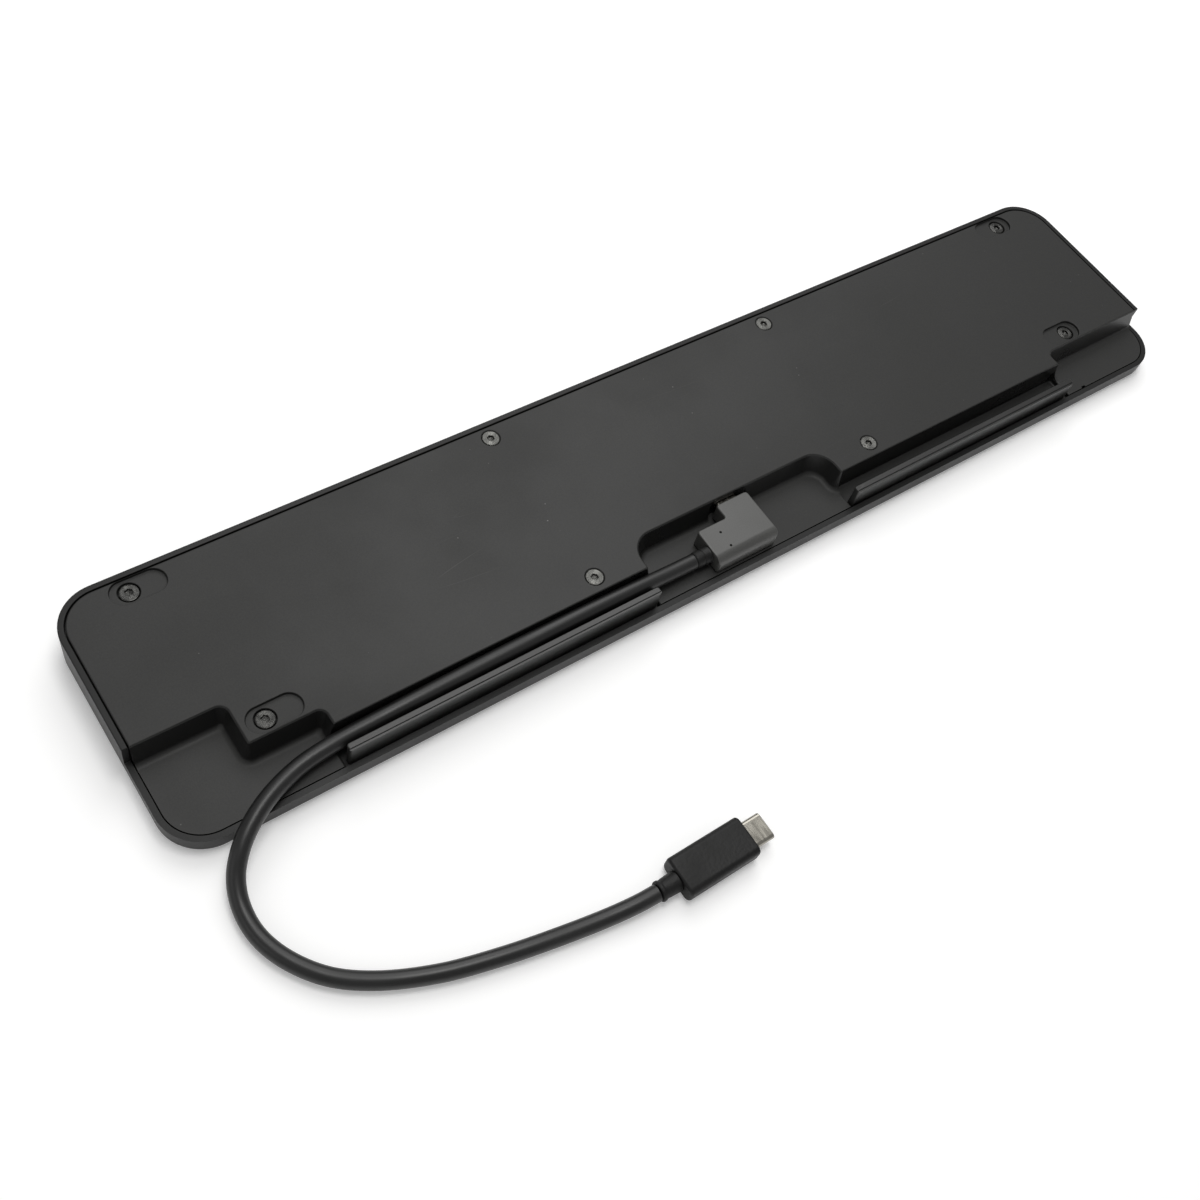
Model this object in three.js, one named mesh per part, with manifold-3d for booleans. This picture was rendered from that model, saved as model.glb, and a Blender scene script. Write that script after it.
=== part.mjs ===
// A slim laptop docking station, lying on its top face so that its underside faces up.
// Millimetres, +Z up. The origin is the centre of the footprint on the surface it lies on.
// X runs along the dock, and -Y is the thin front lip, behind which the cable is stowed.
import * as THREE from "three";
import { mergeVertices } from "three/addons/utils/BufferGeometryUtils.js";
import Module from "manifold-3d";

const wasm = await Module();
wasm.setup();

// Overall sizes
const length = 380;
const depth = 78;
const height = 14;
const lipHeight = 6.4;
const cornerRadius = 13;
const edgeRound = 2;

// Walls and fits
const rim = 1.7;
const seam = 0.35;
const ledge = 1.6;
const skin = 1.6;
const touch = 0.3;
const portClearance = 0.4;

// The stepped front of the base cover, measured from the dock's edges
const leftLipDepth = 30;
const leftLipWidth = 27.7;
const endLipWidth = 49;
const endLipBehindChannel = 5.7;
const pocketHalfWidth = 38.4;
const notchRadius = 3;
const pocketRadius = 7.5;
const outerCornerRadius = 0.5;

// Cable channels and their rails
const channelPlay = 1.3;
const channelDepth = 2;
const channelRunout = 1.4;
const railWidth = 2.4;
const railSetback = 0.35;
const railBelowPlate = 1;
const railInset = 0.6;
const railGroove = 0.25;
const railGrooveInset = 0.55;
const railGrooveDepth = 0.4;
const railFrontDrop = 0.35;
const railPegRadius = 0.8;
const railPegInset = 8;
const pryNotchWidth = 1.8;
const pryNotchDepth = 0.6;
const pryNotchFromStep = 8.4;

// Foot recesses and the screws in them
const footRecessLength = 15.8;
const footRecessWidth = 7.8;
const footRecessDepth = 1;
const footRecessWall = 1.2;
const footScrewInset = 5.2;
const backFootX = 21.3;
const backFootY = 6.2;
const frontFootX = 34.7;
const footHeadRadius = 2.75;
const footHeadHeight = 1.4;

// Flush screws through the middle of the base cover
const flushScrewX = 54.3;
const flushBackInset = 6.1;
const flushWallGap = 0.7;
const flushHeadRadius = 2.65;
const flushHeadHeight = 1.45;
const flushHeadDrop = 0.1;
const shankRadius = 1.3;
const shankClearance = 0.4;
const bossRadius = 2.6;
const screwTubeRadius = 4.1;
const screwTubeLength = 2.6;
const screwShankLength = 7;

// Plug of the captive host port, and the cable
const plugOverCable = 1.1;
const armWidth = 11.4;
const armLength = 5.1;
const plugCorner = 1;
const plugInnerCorner = 0.6;
const dotRadius = 0.4;
const dotDepth = 0.4;
const dotInset = 6.4;
const dotSpacing = 5.3;
const armGap = 1.3;
const plugBodyLeft = 16.8;
const plugBodyRight = 6.5;
const plugBodyDepth = 12.4;
const plugFrontGap = 0.55;
const plugEdgeRoll = 3.3;
const cableDiameter = 4.9;
const cableGap = 0.45;
const collarLength = 5.2;
const shellWidth = 8.25;
const shellThickness = 2.4;
const shellReach = 6.65;
const shellWall = 0.28;
const shellRoot = 2.5;
const receptacleClearance = 0.15;
const receptacleWall = 0.3;
const receptacleLength = 7.3;
const tongueWidth = 6.7;
const tongueThickness = 0.7;

// Circuit board
const boardThickness = 1.6;
const boardEndGap = 40;
const boardFrontGap = 1;
const boardBackGap = 0.6;
const portAboveBoard = 1.65;
const boardPostRadius = 2.6;
const boardPostInset = 10;
const boardScrewInset = 5;
const boardScrewRadius = 1;
const boardHeadRadius = 2.1;
const boardHeadHeight = 1.3;
const boardShankLength = 5;

// Plug on the laptop's end of the cable
const laptopPlugLength = 24;
const laptopPlugWidth = 12;
const laptopPlugThickness = 6.6;
const laptopReliefLength = 6;
const laptopPlugRear = [-83.3, -107.3];

// Planes and edges that follow from the sizes above
const halfLength = length / 2;
const halfDepth = depth / 2;
const coverInset = rim + seam;
const channelWidth = cableDiameter + channelPlay;
const channelSetback = coverInset + railSetback + railWidth + channelWidth;
const pocketSetback = coverInset + plugFrontGap + plugBodyDepth + armLength + armGap;
const endLipDepth = channelSetback + endLipBehindChannel;
const frontFootY = endLipDepth + skin + touch + bossRadius;
const flushFrontInset = channelSetback + skin + flushWallGap + bossRadius;
const plugThickness = cableDiameter + plugOverCable;
const leftStepY = -halfDepth + leftLipDepth;
const endStepY = -halfDepth + endLipDepth;
const channelWallY = -halfDepth + channelSetback;
const pocketWallY = -halfDepth + pocketSetback;
const leftStepX = -halfLength + leftLipWidth;
const endStepX = halfLength - endLipWidth;
const plateBottom = height - skin;
const slabBottom = lipHeight - skin;
const channelFloor = lipHeight - channelDepth;
const railTop = height - railBelowPlate;
const plugBottom = lipHeight + touch;
const plugCentreZ = plugBottom + plugThickness / 2;
const plugTop = plugBottom + plugThickness;
const armFaceY = pocketWallY - armGap;
const plugFrontY = armFaceY - armLength - plugBodyDepth;
const cableY = channelWallY - cableGap - cableDiameter / 2;
const receptacleMouthY = pocketWallY + skin + touch;
const boardTop = plugCentreZ - portAboveBoard;
const boardBottom = boardTop - boardThickness;
const boardFrontY = pocketWallY + skin + boardFrontGap;
const boardBackY = halfDepth - rim - ledge - boardBackGap;
const boardHalfLength = halfLength - boardEndGap;
const boardPostX = boardHalfLength - boardPostInset;
const screwBossTop = plateBottom - screwTubeLength - touch;
const far = 2 * length;

const footScrews = [
  { name: "back_left", x: -halfLength + backFootX, y: halfDepth - backFootY, inward: 1 },
  { name: "front_left", x: -halfLength + frontFootX, y: -halfDepth + frontFootY, inward: 1 },
  { name: "back_right", x: halfLength - backFootX, y: halfDepth - backFootY, inward: -1 },
  { name: "front_right", x: halfLength - frontFootX, y: -halfDepth + frontFootY, inward: -1 },
];

const flushScrews = [
  { name: "back_left", x: -flushScrewX, y: halfDepth - flushBackInset },
  { name: "front_left", x: -flushScrewX, y: -halfDepth + flushFrontInset },
  { name: "back_right", x: flushScrewX, y: halfDepth - flushBackInset },
  { name: "front_right", x: flushScrewX, y: -halfDepth + flushFrontInset },
];

const boardScrews = [
  { name: "back_left", x: -boardPostX, y: boardBackY - boardScrewInset },
  { name: "front_left", x: -boardPostX, y: boardFrontY + boardScrewInset },
  { name: "back_right", x: boardPostX, y: boardBackY - boardScrewInset },
  { name: "front_right", x: boardPostX, y: boardFrontY + boardScrewInset },
];

// Ports along the back edge: each metal shell's outer width and height, and how deep it is.
// The outer ones are placed from the dock's ends, and the middle ones from its centre.
const usbC = { kind: "usb_c", width: 9.1, tall: 3.3, deep: 8 };
const usbA = { kind: "usb_a", width: 13.3, tall: 5.9, deep: 12 };
const video = { kind: "video", width: 15.2, tall: 5.8, deep: 11.5 };
const network = { kind: "network", width: 15.6, tall: 9.6, deep: 15.5 };
const audio = { kind: "audio", width: 6.4, tall: 5.2, deep: 12 };
const ports = [
  { name: "power_port", x: -halfLength + 62, ...usbC },
  { name: "video_port_1", x: -halfLength + 84, ...video },
  { name: "video_port_2", x: -halfLength + 110, ...video },
  { name: "network_port", x: -26, ...network },
  { name: "usb_port_1", x: 0, ...usbA },
  { name: "usb_port_2", x: 22, ...usbA },
  { name: "usb_port_3", x: halfLength - 110, ...usbA },
  { name: "data_port", x: halfLength - 88, ...usbC },
  { name: "audio_port", x: halfLength - 68, ...audio },
];
const portFloorGap = 0.4;
const portMouthInset = 0.5;
const portCentreZ = skin + portFloorGap + network.tall / 2;

// Inside of the network socket: its mouth and, below it, the slot for the plug's latch
const jack = { width: 11.8, up: 3.3, down: 3.6, deep: 12.5 };
const latchSlot = { width: 4, down: 4.3, deep: 7 };
const audioBoreRadius = 1.8;

// Finishes
const casingBlack = { color: 0x232322, roughness: 0.62, metalness: 0 };
const shellBlack = { color: 0x1c1c1c, roughness: 0.5, metalness: 0 };
const railBlack = { color: 0x262624, roughness: 0.35, metalness: 0 };
const screwBlack = { color: 0x3a3a38, roughness: 0.4, metalness: 0.9 };
const screwGrey = { color: 0x6f706c, roughness: 0.38, metalness: 0.9 };
const boardGreen = { color: 0x14301f, roughness: 0.5, metalness: 0 };
const nickel = { color: 0xc9c5b8, roughness: 0.25, metalness: 1 };
const contactBlack = { color: 0x141414, roughness: 0.55, metalness: 0 };
const chipBlack = { color: 0x191a1b, roughness: 0.6, metalness: 0 };
const spreaderMetal = { color: 0xb4b6b8, roughness: 0.35, metalness: 1 };
const padGrey = { color: 0x8a93a0, roughness: 0.9, metalness: 0 };
const plugBlack = { color: 0x2b2b2a, roughness: 0.55, metalness: 0 };
const cableBlack = { color: 0x151515, roughness: 0.45, metalness: 0 };

// Solids
function solidOf(geometry) {
  const bare = geometry.index ? geometry.toNonIndexed() : geometry.clone();
  bare.deleteAttribute("normal");
  bare.deleteAttribute("uv");
  const merged = mergeVertices(bare, 1e-4);
  const vertProperties = Float32Array.from(merged.attributes.position.array);
  const triVerts = Uint32Array.from(merged.index.array);
  return new wasm.Manifold(new wasm.Mesh({ numProp: 3, vertProperties, triVerts }));
}

function geometryOf(solid) {
  const mesh = solid.getMesh();
  const geometry = new THREE.BufferGeometry();
  geometry.setAttribute("position", new THREE.BufferAttribute(mesh.vertProperties, 3));
  geometry.setIndex(new THREE.BufferAttribute(mesh.triVerts, 1));
  geometry.computeVertexNormals();
  return geometry;
}

function box(x0, x1, y0, y1, z0, z1) {
  const geometry = new THREE.BoxGeometry(x1 - x0, y1 - y0, z1 - z0);
  geometry.translate((x0 + x1) / 2, (y0 + y1) / 2, (z0 + z1) / 2);
  return solidOf(geometry);
}

function cone(bottomRadius, topRadius, x, y, z0, z1, sides = 16) {
  const geometry = new THREE.CylinderGeometry(topRadius, bottomRadius, z1 - z0, sides);
  geometry.rotateX(Math.PI / 2);
  geometry.translate(x, y, (z0 + z1) / 2);
  return solidOf(geometry);
}

function cylinder(radius, x, y, z0, z1, sides = 16) {
  return cone(radius, radius, x, y, z0, z1, sides);
}

function slab(shape, z0, z1, curveSegments = 4) {
  const geometry = new THREE.ExtrudeGeometry(shape, {
    depth: z1 - z0,
    bevelEnabled: false,
    curveSegments,
  });
  geometry.translate(0, 0, z0);
  return solidOf(geometry);
}

// A closed outline through corners {x, y, r}, each rounded by its own radius
function roundedOutline(corners) {
  const shape = new THREE.Shape();
  corners.forEach((corner, i) => {
    const before = corners[(i + corners.length - 1) % corners.length];
    const after = corners[(i + 1) % corners.length];
    const here = new THREE.Vector2(corner.x, corner.y);
    const back = new THREE.Vector2(before.x, before.y).sub(here).normalize();
    const ahead = new THREE.Vector2(after.x, after.y).sub(here).normalize();
    const half = Math.acos(THREE.MathUtils.clamp(back.dot(ahead), -1, 1)) / 2;
    const run = corner.r / Math.tan(half);
    const start = here.clone().addScaledVector(back, run);
    const end = here.clone().addScaledVector(ahead, run);
    const middle = back.clone().add(ahead).normalize();
    const centre = here.clone().addScaledVector(middle, corner.r / Math.sin(half));
    const from = Math.atan2(start.y - centre.y, start.x - centre.x);
    const to = Math.atan2(end.y - centre.y, end.x - centre.x);
    const clockwise = back.cross(ahead) > 0;
    if (i === 0) {
      shape.moveTo(start.x, start.y);
    } else {
      shape.lineTo(start.x, start.y);
    }
    shape.absarc(centre.x, centre.y, corner.r, from, to, clockwise);
  });
  shape.closePath();
  return shape;
}

function roundedRectangle(x0, x1, y0, y1, r) {
  return roundedOutline([
    { x: x0, y: y0, r },
    { x: x1, y: y0, r },
    { x: x1, y: y1, r },
    { x: x0, y: y1, r },
  ]);
}

function footprint(inset) {
  const x = halfLength - inset;
  const y = halfDepth - inset;
  return roundedRectangle(-x, x, -y, y, cornerRadius - inset);
}

// A slot-shaped bar along Y, with round sides, as wide as a USB-C plug's shell
function slotBar(width, thickness, y0, y1) {
  const radius = thickness / 2 - 0.01;
  const shape = roundedRectangle(-width / 2, width / 2, -thickness / 2, thickness / 2, radius);
  const geometry = new THREE.ExtrudeGeometry(shape, {
    depth: y1 - y0,
    bevelEnabled: false,
    curveSegments: 3,
  });
  geometry.rotateX(Math.PI / 2);
  geometry.translate(0, y1, 0);
  return solidOf(geometry);
}

// Pieces
const dock = new THREE.Group();
const casing = new THREE.Group();
const electronics = new THREE.Group();
const hostPlug = new THREE.Group();
const lead = new THREE.Group();
dock.add(casing, electronics, hostPlug, lead);

function addPiece(group, name, shape, finish, x = 0, y = 0, z = 0) {
  const geometry = shape.isBufferGeometry ? shape : geometryOf(shape);
  const mesh = new THREE.Mesh(geometry, new THREE.MeshStandardMaterial(finish));
  mesh.name = name;
  mesh.position.set(x, y, z);
  group.add(mesh);
  return mesh;
}

// The front edge of the raised plate, moved inward by an offset, and closed far behind the dock
function plateShape(offset) {
  const hollow = (radius) => radius + offset;
  const solid = Math.max(outerCornerRadius - offset, 0.2);
  return roundedOutline([
    { x: -far, y: leftStepY + offset, r: 0.1 },
    { x: leftStepX + offset, y: leftStepY + offset, r: hollow(notchRadius) },
    { x: leftStepX + offset, y: endStepY + offset, r: solid },
    { x: -endStepX + offset, y: endStepY + offset, r: hollow(notchRadius - 0.5) },
    { x: -endStepX + offset, y: channelWallY + offset, r: solid },
    { x: -pocketHalfWidth - offset, y: channelWallY + offset, r: solid },
    { x: -pocketHalfWidth - offset, y: pocketWallY + offset, r: hollow(pocketRadius) },
    { x: pocketHalfWidth + offset, y: pocketWallY + offset, r: hollow(pocketRadius) },
    { x: pocketHalfWidth + offset, y: channelWallY + offset, r: solid },
    { x: endStepX - offset, y: channelWallY + offset, r: solid },
    { x: endStepX - offset, y: endStepY + offset, r: hollow(notchRadius - 0.5) },
    { x: far, y: endStepY + offset, r: 0.1 },
    { x: far, y: far, r: 1 },
    { x: -far, y: far, r: 1 },
  ]);
}

function footRecess(screw, grow, z0, z1) {
  const outer = screw.x - screw.inward * footScrewInset;
  const inner = outer + screw.inward * footRecessLength;
  const x0 = Math.min(outer, inner) - grow;
  const x1 = Math.max(outer, inner) + grow;
  const halfWidth = footRecessWidth / 2 + grow;
  const shape = roundedRectangle(x0, x1, screw.y - halfWidth, screw.y + halfWidth, halfWidth - 0.01);
  return slab(shape, z0, z1, 5);
}

// Top shell: a shallow tray that steps down to the lip, with a ledge that the base cover rests on
function topShell() {
  const outer = new THREE.ExtrudeGeometry(footprint(edgeRound), {
    depth: height,
    bevelEnabled: true,
    bevelThickness: edgeRound,
    bevelSize: edgeRound,
    bevelSegments: 3,
    curveSegments: 8,
  });
  outer.translate(0, 0, edgeRound);
  let shell = solidOf(outer).intersect(box(-far, far, -far, far, -1, height));
  const lipLedge = slabBottom - touch;
  const plateLedge = plateBottom - touch;
  const leftSeatY = leftStepY + skin + touch;
  const endSeatY = endStepY + skin + touch;
  const seat = slab(footprint(rim), lipLedge, height + 1, 8);
  const lips = box(-far, 0, -far, leftSeatY, 0, far).add(box(-0.1, far, -far, endSeatY, 0, far));
  shell = shell
    .subtract(slab(footprint(rim + ledge), skin, height + 1, 6))
    .subtract(slab(footprint(rim), plateLedge, height + 1, 8))
    .subtract(seat.intersect(lips))
    .subtract(box(-far, 0, -far, leftStepY, lipHeight, far))
    .subtract(box(-0.1, far, -far, endStepY, lipHeight, far));
  for (const side of [-1, 1]) {
    const near = side * (pocketHalfWidth - skin - touch);
    const end = side * (endStepX + channelRunout + skin + touch);
    const x0 = Math.min(near, end);
    const x1 = Math.max(near, end);
    const floor = channelFloor - skin - touch;
    shell = shell.subtract(box(x0, x1, -halfDepth + rim, channelWallY, floor, lipHeight));
  }
  for (const screw of [...footScrews, ...flushScrews]) {
    shell = shell.add(cylinder(bossRadius, screw.x, screw.y, skin / 2, screwBossTop));
  }
  for (const screw of [...footScrews, ...flushScrews]) {
    const hole = shankRadius + touch;
    shell = shell.subtract(cylinder(hole, screw.x, screw.y, skin, screwBossTop + 1, 16));
  }
  for (const screw of boardScrews) {
    const top = boardBottom - touch;
    shell = shell.add(cylinder(boardPostRadius, screw.x, screw.y, skin / 2, top, 16));
    const hole = boardScrewRadius + touch;
    shell = shell.subtract(cylinder(hole, screw.x, screw.y, skin, top + 1, 12));
  }
  for (const port of ports) {
    const x = port.width / 2 + portClearance;
    const z = port.tall / 2 + portClearance;
    const inner = halfDepth - rim - ledge - 1;
    shell = shell.subtract(
      box(port.x - x, port.x + x, inner, far, portCentreZ - z, portCentreZ + z),
    );
  }
  return shell;
}

addPiece(casing, "top_shell", topShell(), shellBlack);

// Base cover: the raised plate, its stepped front wall, the lip and the two cable channels
function baseCover() {
  const outline = slab(footprint(coverInset), slabBottom, height, 8);
  const lip = slab(footprint(coverInset), slabBottom, lipHeight, 8);
  let cover = slab(plateShape(0), slabBottom, height).intersect(outline).add(lip);
  cover = cover.subtract(slab(plateShape(skin), slabBottom - 1, plateBottom));
  for (const side of [-1, 1]) {
    const near = side * pocketHalfWidth;
    const end = side * (endStepX + channelRunout);
    const x0 = Math.min(near, end);
    const x1 = Math.max(near, end);
    const front = -halfDepth + coverInset;
    const trayTop = slabBottom + skin / 2;
    const tray = box(x0 - skin, x1 + skin, front, channelWallY + skin, channelFloor - skin, trayTop);
    cover = cover.add(tray);
    cover = cover.subtract(box(x0, x1, front - 1, channelWallY, channelFloor, lipHeight + 1));
    for (const x of railPegs(side)) {
      const y = railFrontY + railWidth / 2;
      cover = cover.subtract(cylinder(railPegRadius + touch, x, y, 0, lipHeight, 12));
    }
  }
  const tubeBottom = plateBottom - screwTubeLength;
  const withinLedge = slab(footprint(rim + ledge + touch), 0, height, 6);
  for (const screw of footScrews) {
    const recessFloor = height - footRecessDepth;
    const seatZ = recessFloor - footHeadHeight - touch;
    const pad = footRecess(screw, footRecessWall, recessFloor - skin, plateBottom + 0.1);
    const tube = cylinder(screwTubeRadius, screw.x, screw.y, tubeBottom, plateBottom + 0.1);
    cover = cover
      .add(pad.add(tube).intersect(withinLedge))
      .subtract(footRecess(screw, 0, recessFloor, height + 1))
      .subtract(cylinder(footHeadRadius + touch, screw.x, screw.y, seatZ, height))
      .subtract(cylinder(shankRadius + shankClearance, screw.x, screw.y, 0, height, 16));
  }
  for (const screw of flushScrews) {
    const top = flushHeadRadius + touch;
    const bottom = shankRadius + shankClearance;
    const sinkZ = height - flushHeadHeight - touch / 2;
    const tube = cylinder(screwTubeRadius, screw.x, screw.y, tubeBottom, plateBottom + 0.1);
    cover = cover
      .add(tube.intersect(withinLedge))
      .subtract(cone(bottom, top, screw.x, screw.y, sinkZ, height + 0.001))
      .subtract(cylinder(bottom, screw.x, screw.y, 0, height, 16));
  }
  const portHole = slotBar(
    shellWidth + 2 * portClearance,
    shellThickness + 2 * portClearance,
    pocketWallY - 1,
    pocketWallY + skin + 1,
  ).translate([0, 0, plugCentreZ]);
  const coverFront = -halfDepth + coverInset;
  const pryNotch = box(
    endStepX + pryNotchFromStep,
    endStepX + pryNotchFromStep + pryNotchWidth,
    coverFront - 1,
    coverFront + pryNotchDepth,
    0,
    height,
  );
  return cover.subtract(portHole).subtract(pryNotch);
}

// Cable rails: two long bars along the lip, which keep the cable against the channel's wall
const railBackY = channelWallY - channelWidth;
const railFrontY = railBackY - railWidth;

function railPegs(side) {
  const near = pocketHalfWidth + railInset + railPegInset;
  const end = endStepX - railPegInset;
  return [near, (near + end) / 2, end].map((x) => side * x);
}

function cableRail(side) {
  const near = side * (pocketHalfWidth + railInset);
  const end = side * endStepX;
  const middle = (near + end) / 2;
  const halfSpan = Math.abs(end - near) / 2;
  const bottom = channelFloor + touch;
  const shape = roundedRectangle(-halfSpan, halfSpan, railFrontY, railBackY, 0.8);
  let rail = slab(shape, bottom, railTop, 4);
  const grooveY = railFrontY + railGrooveInset;
  const grooveZ = railTop - railGrooveDepth;
  const dropZ = railTop - railFrontDrop;
  rail = rail
    .subtract(box(-far, far, grooveY, grooveY + railGroove, grooveZ, railTop + 1))
    .subtract(box(-far, far, railFrontY - 1, grooveY, dropZ, railTop + 1));
  for (const x of railPegs(side)) {
    const y = railFrontY + railWidth / 2;
    rail = rail.add(cylinder(railPegRadius, x - middle, y, channelFloor - skin, bottom + 0.5, 10));
  }
  return { rail, middle };
}

addPiece(casing, "base_cover", baseCover(), casingBlack);
for (const side of [-1, 1]) {
  const { rail, middle } = cableRail(side);
  addPiece(casing, side < 0 ? "cable_rail_left" : "cable_rail_right", rail, railBlack, middle);
}

// Screws, each drawn with the top of its head at its own origin
function hexSocket(radius, deep) {
  return cylinder(radius, 0, 0, -deep, 1, 6);
}

function panScrew(headRadius, headHeight, shankLength, radius) {
  const head = cone(headRadius, headRadius - 0.35, 0, 0, -headHeight, 0, 20);
  const shank = cylinder(radius, 0, 0, -headHeight - shankLength, -headHeight + 0.2, 14);
  return head.add(shank).subtract(hexSocket(headRadius * 0.42, headHeight * 0.6));
}

function flushScrew() {
  const head = cone(shankRadius, flushHeadRadius, 0, 0, -flushHeadHeight, 0, 20);
  const shankTop = -flushHeadHeight + 0.15;
  const shank = cylinder(shankRadius, 0, 0, shankTop - screwShankLength, shankTop, 14);
  return head.add(shank).subtract(hexSocket(1.15, 0.9));
}

for (const screw of footScrews) {
  const z = height - footRecessDepth;
  const shape = panScrew(footHeadRadius, footHeadHeight, screwShankLength - 1, shankRadius);
  addPiece(casing, `foot_screw_${screw.name}`, shape, screwBlack, screw.x, screw.y, z);
}
for (const screw of flushScrews) {
  const z = height - flushHeadDrop;
  addPiece(casing, `flush_screw_${screw.name}`, flushScrew(), screwGrey, screw.x, screw.y, z);
}

// Circuit board, notched around the sunk ports and the screw bosses
function mainBoard() {
  const corners = roundedRectangle(-boardHalfLength, boardHalfLength, boardFrontY, boardBackY, 2);
  let board = slab(corners, boardBottom, boardTop, 3);
  for (const port of ports) {
    const x = port.width / 2 + portClearance;
    const front = halfDepth - portMouthInset - port.deep - portClearance;
    board = board.subtract(box(port.x - x, port.x + x, front, far, 0, height));
  }
  for (const screw of flushScrews.filter((one) => one.y > boardFrontY)) {
    const r = screwTubeRadius + portClearance;
    board = board.subtract(box(screw.x - r, screw.x + r, screw.y - r, far, 0, height));
  }
  for (const screw of boardScrews) {
    const hole = boardScrewRadius + shankClearance;
    board = board.subtract(cylinder(hole, screw.x, screw.y, 0, height, 14));
  }
  return board;
}

addPiece(electronics, "main_board", mainBoard(), boardGreen);
for (const screw of boardScrews) {
  const shape = panScrew(boardHeadRadius, boardHeadHeight, boardShankLength, boardScrewRadius);
  const z = boardTop + touch + boardHeadHeight;
  addPiece(electronics, `board_screw_${screw.name}`, shape, screwGrey, screw.x, screw.y, z);
}

// Port shells, each drawn with its mouth at y = 0 and its body towards -Y
function rectangularShell(width, tall, deep, wall) {
  const outer = box(-width / 2, width / 2, -deep, 0, -tall / 2, tall / 2);
  const x = width / 2 - wall;
  const z = tall / 2 - wall;
  return outer.subtract(box(-x, x, -deep + wall, 1, -z, z));
}

function videoShell(width, tall, deep) {
  const section = (grow) => {
    const shape = new THREE.Shape();
    const x = width / 2 + grow;
    const z = tall / 2 + grow;
    const chamfer = 1.6;
    shape.moveTo(-x + chamfer, -z);
    shape.lineTo(x - chamfer, -z);
    shape.lineTo(x, -z + chamfer);
    shape.lineTo(x, z);
    shape.lineTo(-x, z);
    shape.lineTo(-x, -z + chamfer);
    shape.closePath();
    return shape;
  };
  const bar = (shape, y0, y1) => {
    const geometry = new THREE.ExtrudeGeometry(shape, { depth: y1 - y0, bevelEnabled: false });
    geometry.rotateX(Math.PI / 2);
    geometry.translate(0, y1, 0);
    return solidOf(geometry);
  };
  return bar(section(0), -deep, 0).subtract(bar(section(-0.4), -deep + 0.4, 1));
}

function usbCShell(width, tall, deep) {
  const cavity = slotBar(width - 2 * receptacleWall, tall - 2 * receptacleWall, -deep + 0.4, 1);
  return slotBar(width, tall, -deep, 0).subtract(cavity);
}

function networkShell(width, tall, deep) {
  const outer = box(-width / 2, width / 2, -deep, 0, -tall / 2, tall / 2);
  const mouth = box(-jack.width / 2, jack.width / 2, -jack.deep, 1, -jack.down, jack.up);
  const slot = latchSlot.width / 2;
  const latch = box(-slot, slot, -latchSlot.deep, 1, -latchSlot.down, 0);
  return outer.subtract(mouth).subtract(latch);
}

function audioShell(width, tall, deep) {
  const outer = box(-width / 2, width / 2, -deep, 0, -tall / 2, tall / 2);
  const bore = cylinder(audioBoreRadius, 0, 0, -deep + 0.8, 1, 16).rotate([-90, 0, 0]);
  return outer.subtract(bore);
}

const shellMakers = {
  usb_c: usbCShell,
  video: videoShell,
  network: networkShell,
  usb_a: (width, tall, deep) => rectangularShell(width, tall, deep, 0.35),
  audio: audioShell,
};

const tongueMakers = {
  usb_c: (port) => box(-tongueWidth / 2, tongueWidth / 2, -port.deep + 0.7, -1.2, -0.35, 0.35),
  video: (port) => box(-5.4, 5.4, -port.deep + 0.7, -1.4, -0.9, 0.9),
  network: () => box(-4.6, 4.6, -12.2, -2.5, 1.5, 3),
  usb_a: (port) => box(-5.6, 5.6, -port.deep + 0.65, -1, 0.15, 2),
};

for (const port of ports) {
  const y = halfDepth - portMouthInset;
  const body = shellMakers[port.kind](port.width, port.tall, port.deep);
  const finish = port.kind === "audio" ? contactBlack : nickel;
  addPiece(electronics, port.name, body, finish, port.x, y, portCentreZ);
  if (tongueMakers[port.kind]) {
    const tongue = tongueMakers[port.kind](port);
    addPiece(electronics, `${port.name}_tongue`, tongue, contactBlack, port.x, y, portCentreZ);
  }
}

// Host receptacle behind the pocket's wall, drawn with its mouth at y = 0 and turned to face -Y
const receptacleWidth = shellWidth + 2 * (receptacleClearance + receptacleWall);
const receptacleTall = shellThickness + 2 * (receptacleClearance + receptacleWall);
const hostShell = usbCShell(receptacleWidth, receptacleTall, receptacleLength);
const hostTongue = box(
  -tongueWidth / 2,
  tongueWidth / 2,
  -receptacleLength + 0.7,
  -1.6,
  -tongueThickness / 2,
  tongueThickness / 2,
);
const hostParts = [
  ["host_receptacle", hostShell, nickel],
  ["host_receptacle_tongue", hostTongue, contactBlack],
];
for (const [name, shape, finish] of hostParts) {
  const piece = addPiece(electronics, name, shape, finish, 0, receptacleMouthY, plugCentreZ);
  piece.rotation.z = Math.PI;
}

// Chips, coils and capacitors on the board, and the spreader that takes their heat to the cover
const chips = [
  { name: "hub_chip", x: -12, y: 3, size: 9, tall: 1.2 },
  { name: "video_chip", x: -halfLength + 106, y: 2, size: 12, tall: 1.2 },
  { name: "network_chip", x: 30, y: -2, size: 7, tall: 1.2 },
  { name: "power_chip", x: -halfLength + 68, y: 6, size: 6, tall: 1.2 },
];
for (const chip of chips) {
  const body = new THREE.BoxGeometry(chip.size, chip.size, chip.tall);
  const z = boardTop + touch + chip.tall / 2;
  addPiece(electronics, chip.name, body, chipBlack, chip.x, chip.y, z);
}

const videoChip = chips[1];
const padBottom = boardTop + 2 * touch + videoChip.tall;
const spreaderLength = 34;
const spreaderWidth = 26;
const spreaderTall = 0.8;
const spreaderBottom = plateBottom - touch - spreaderTall;
const padTall = spreaderBottom - touch - padBottom;

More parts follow.
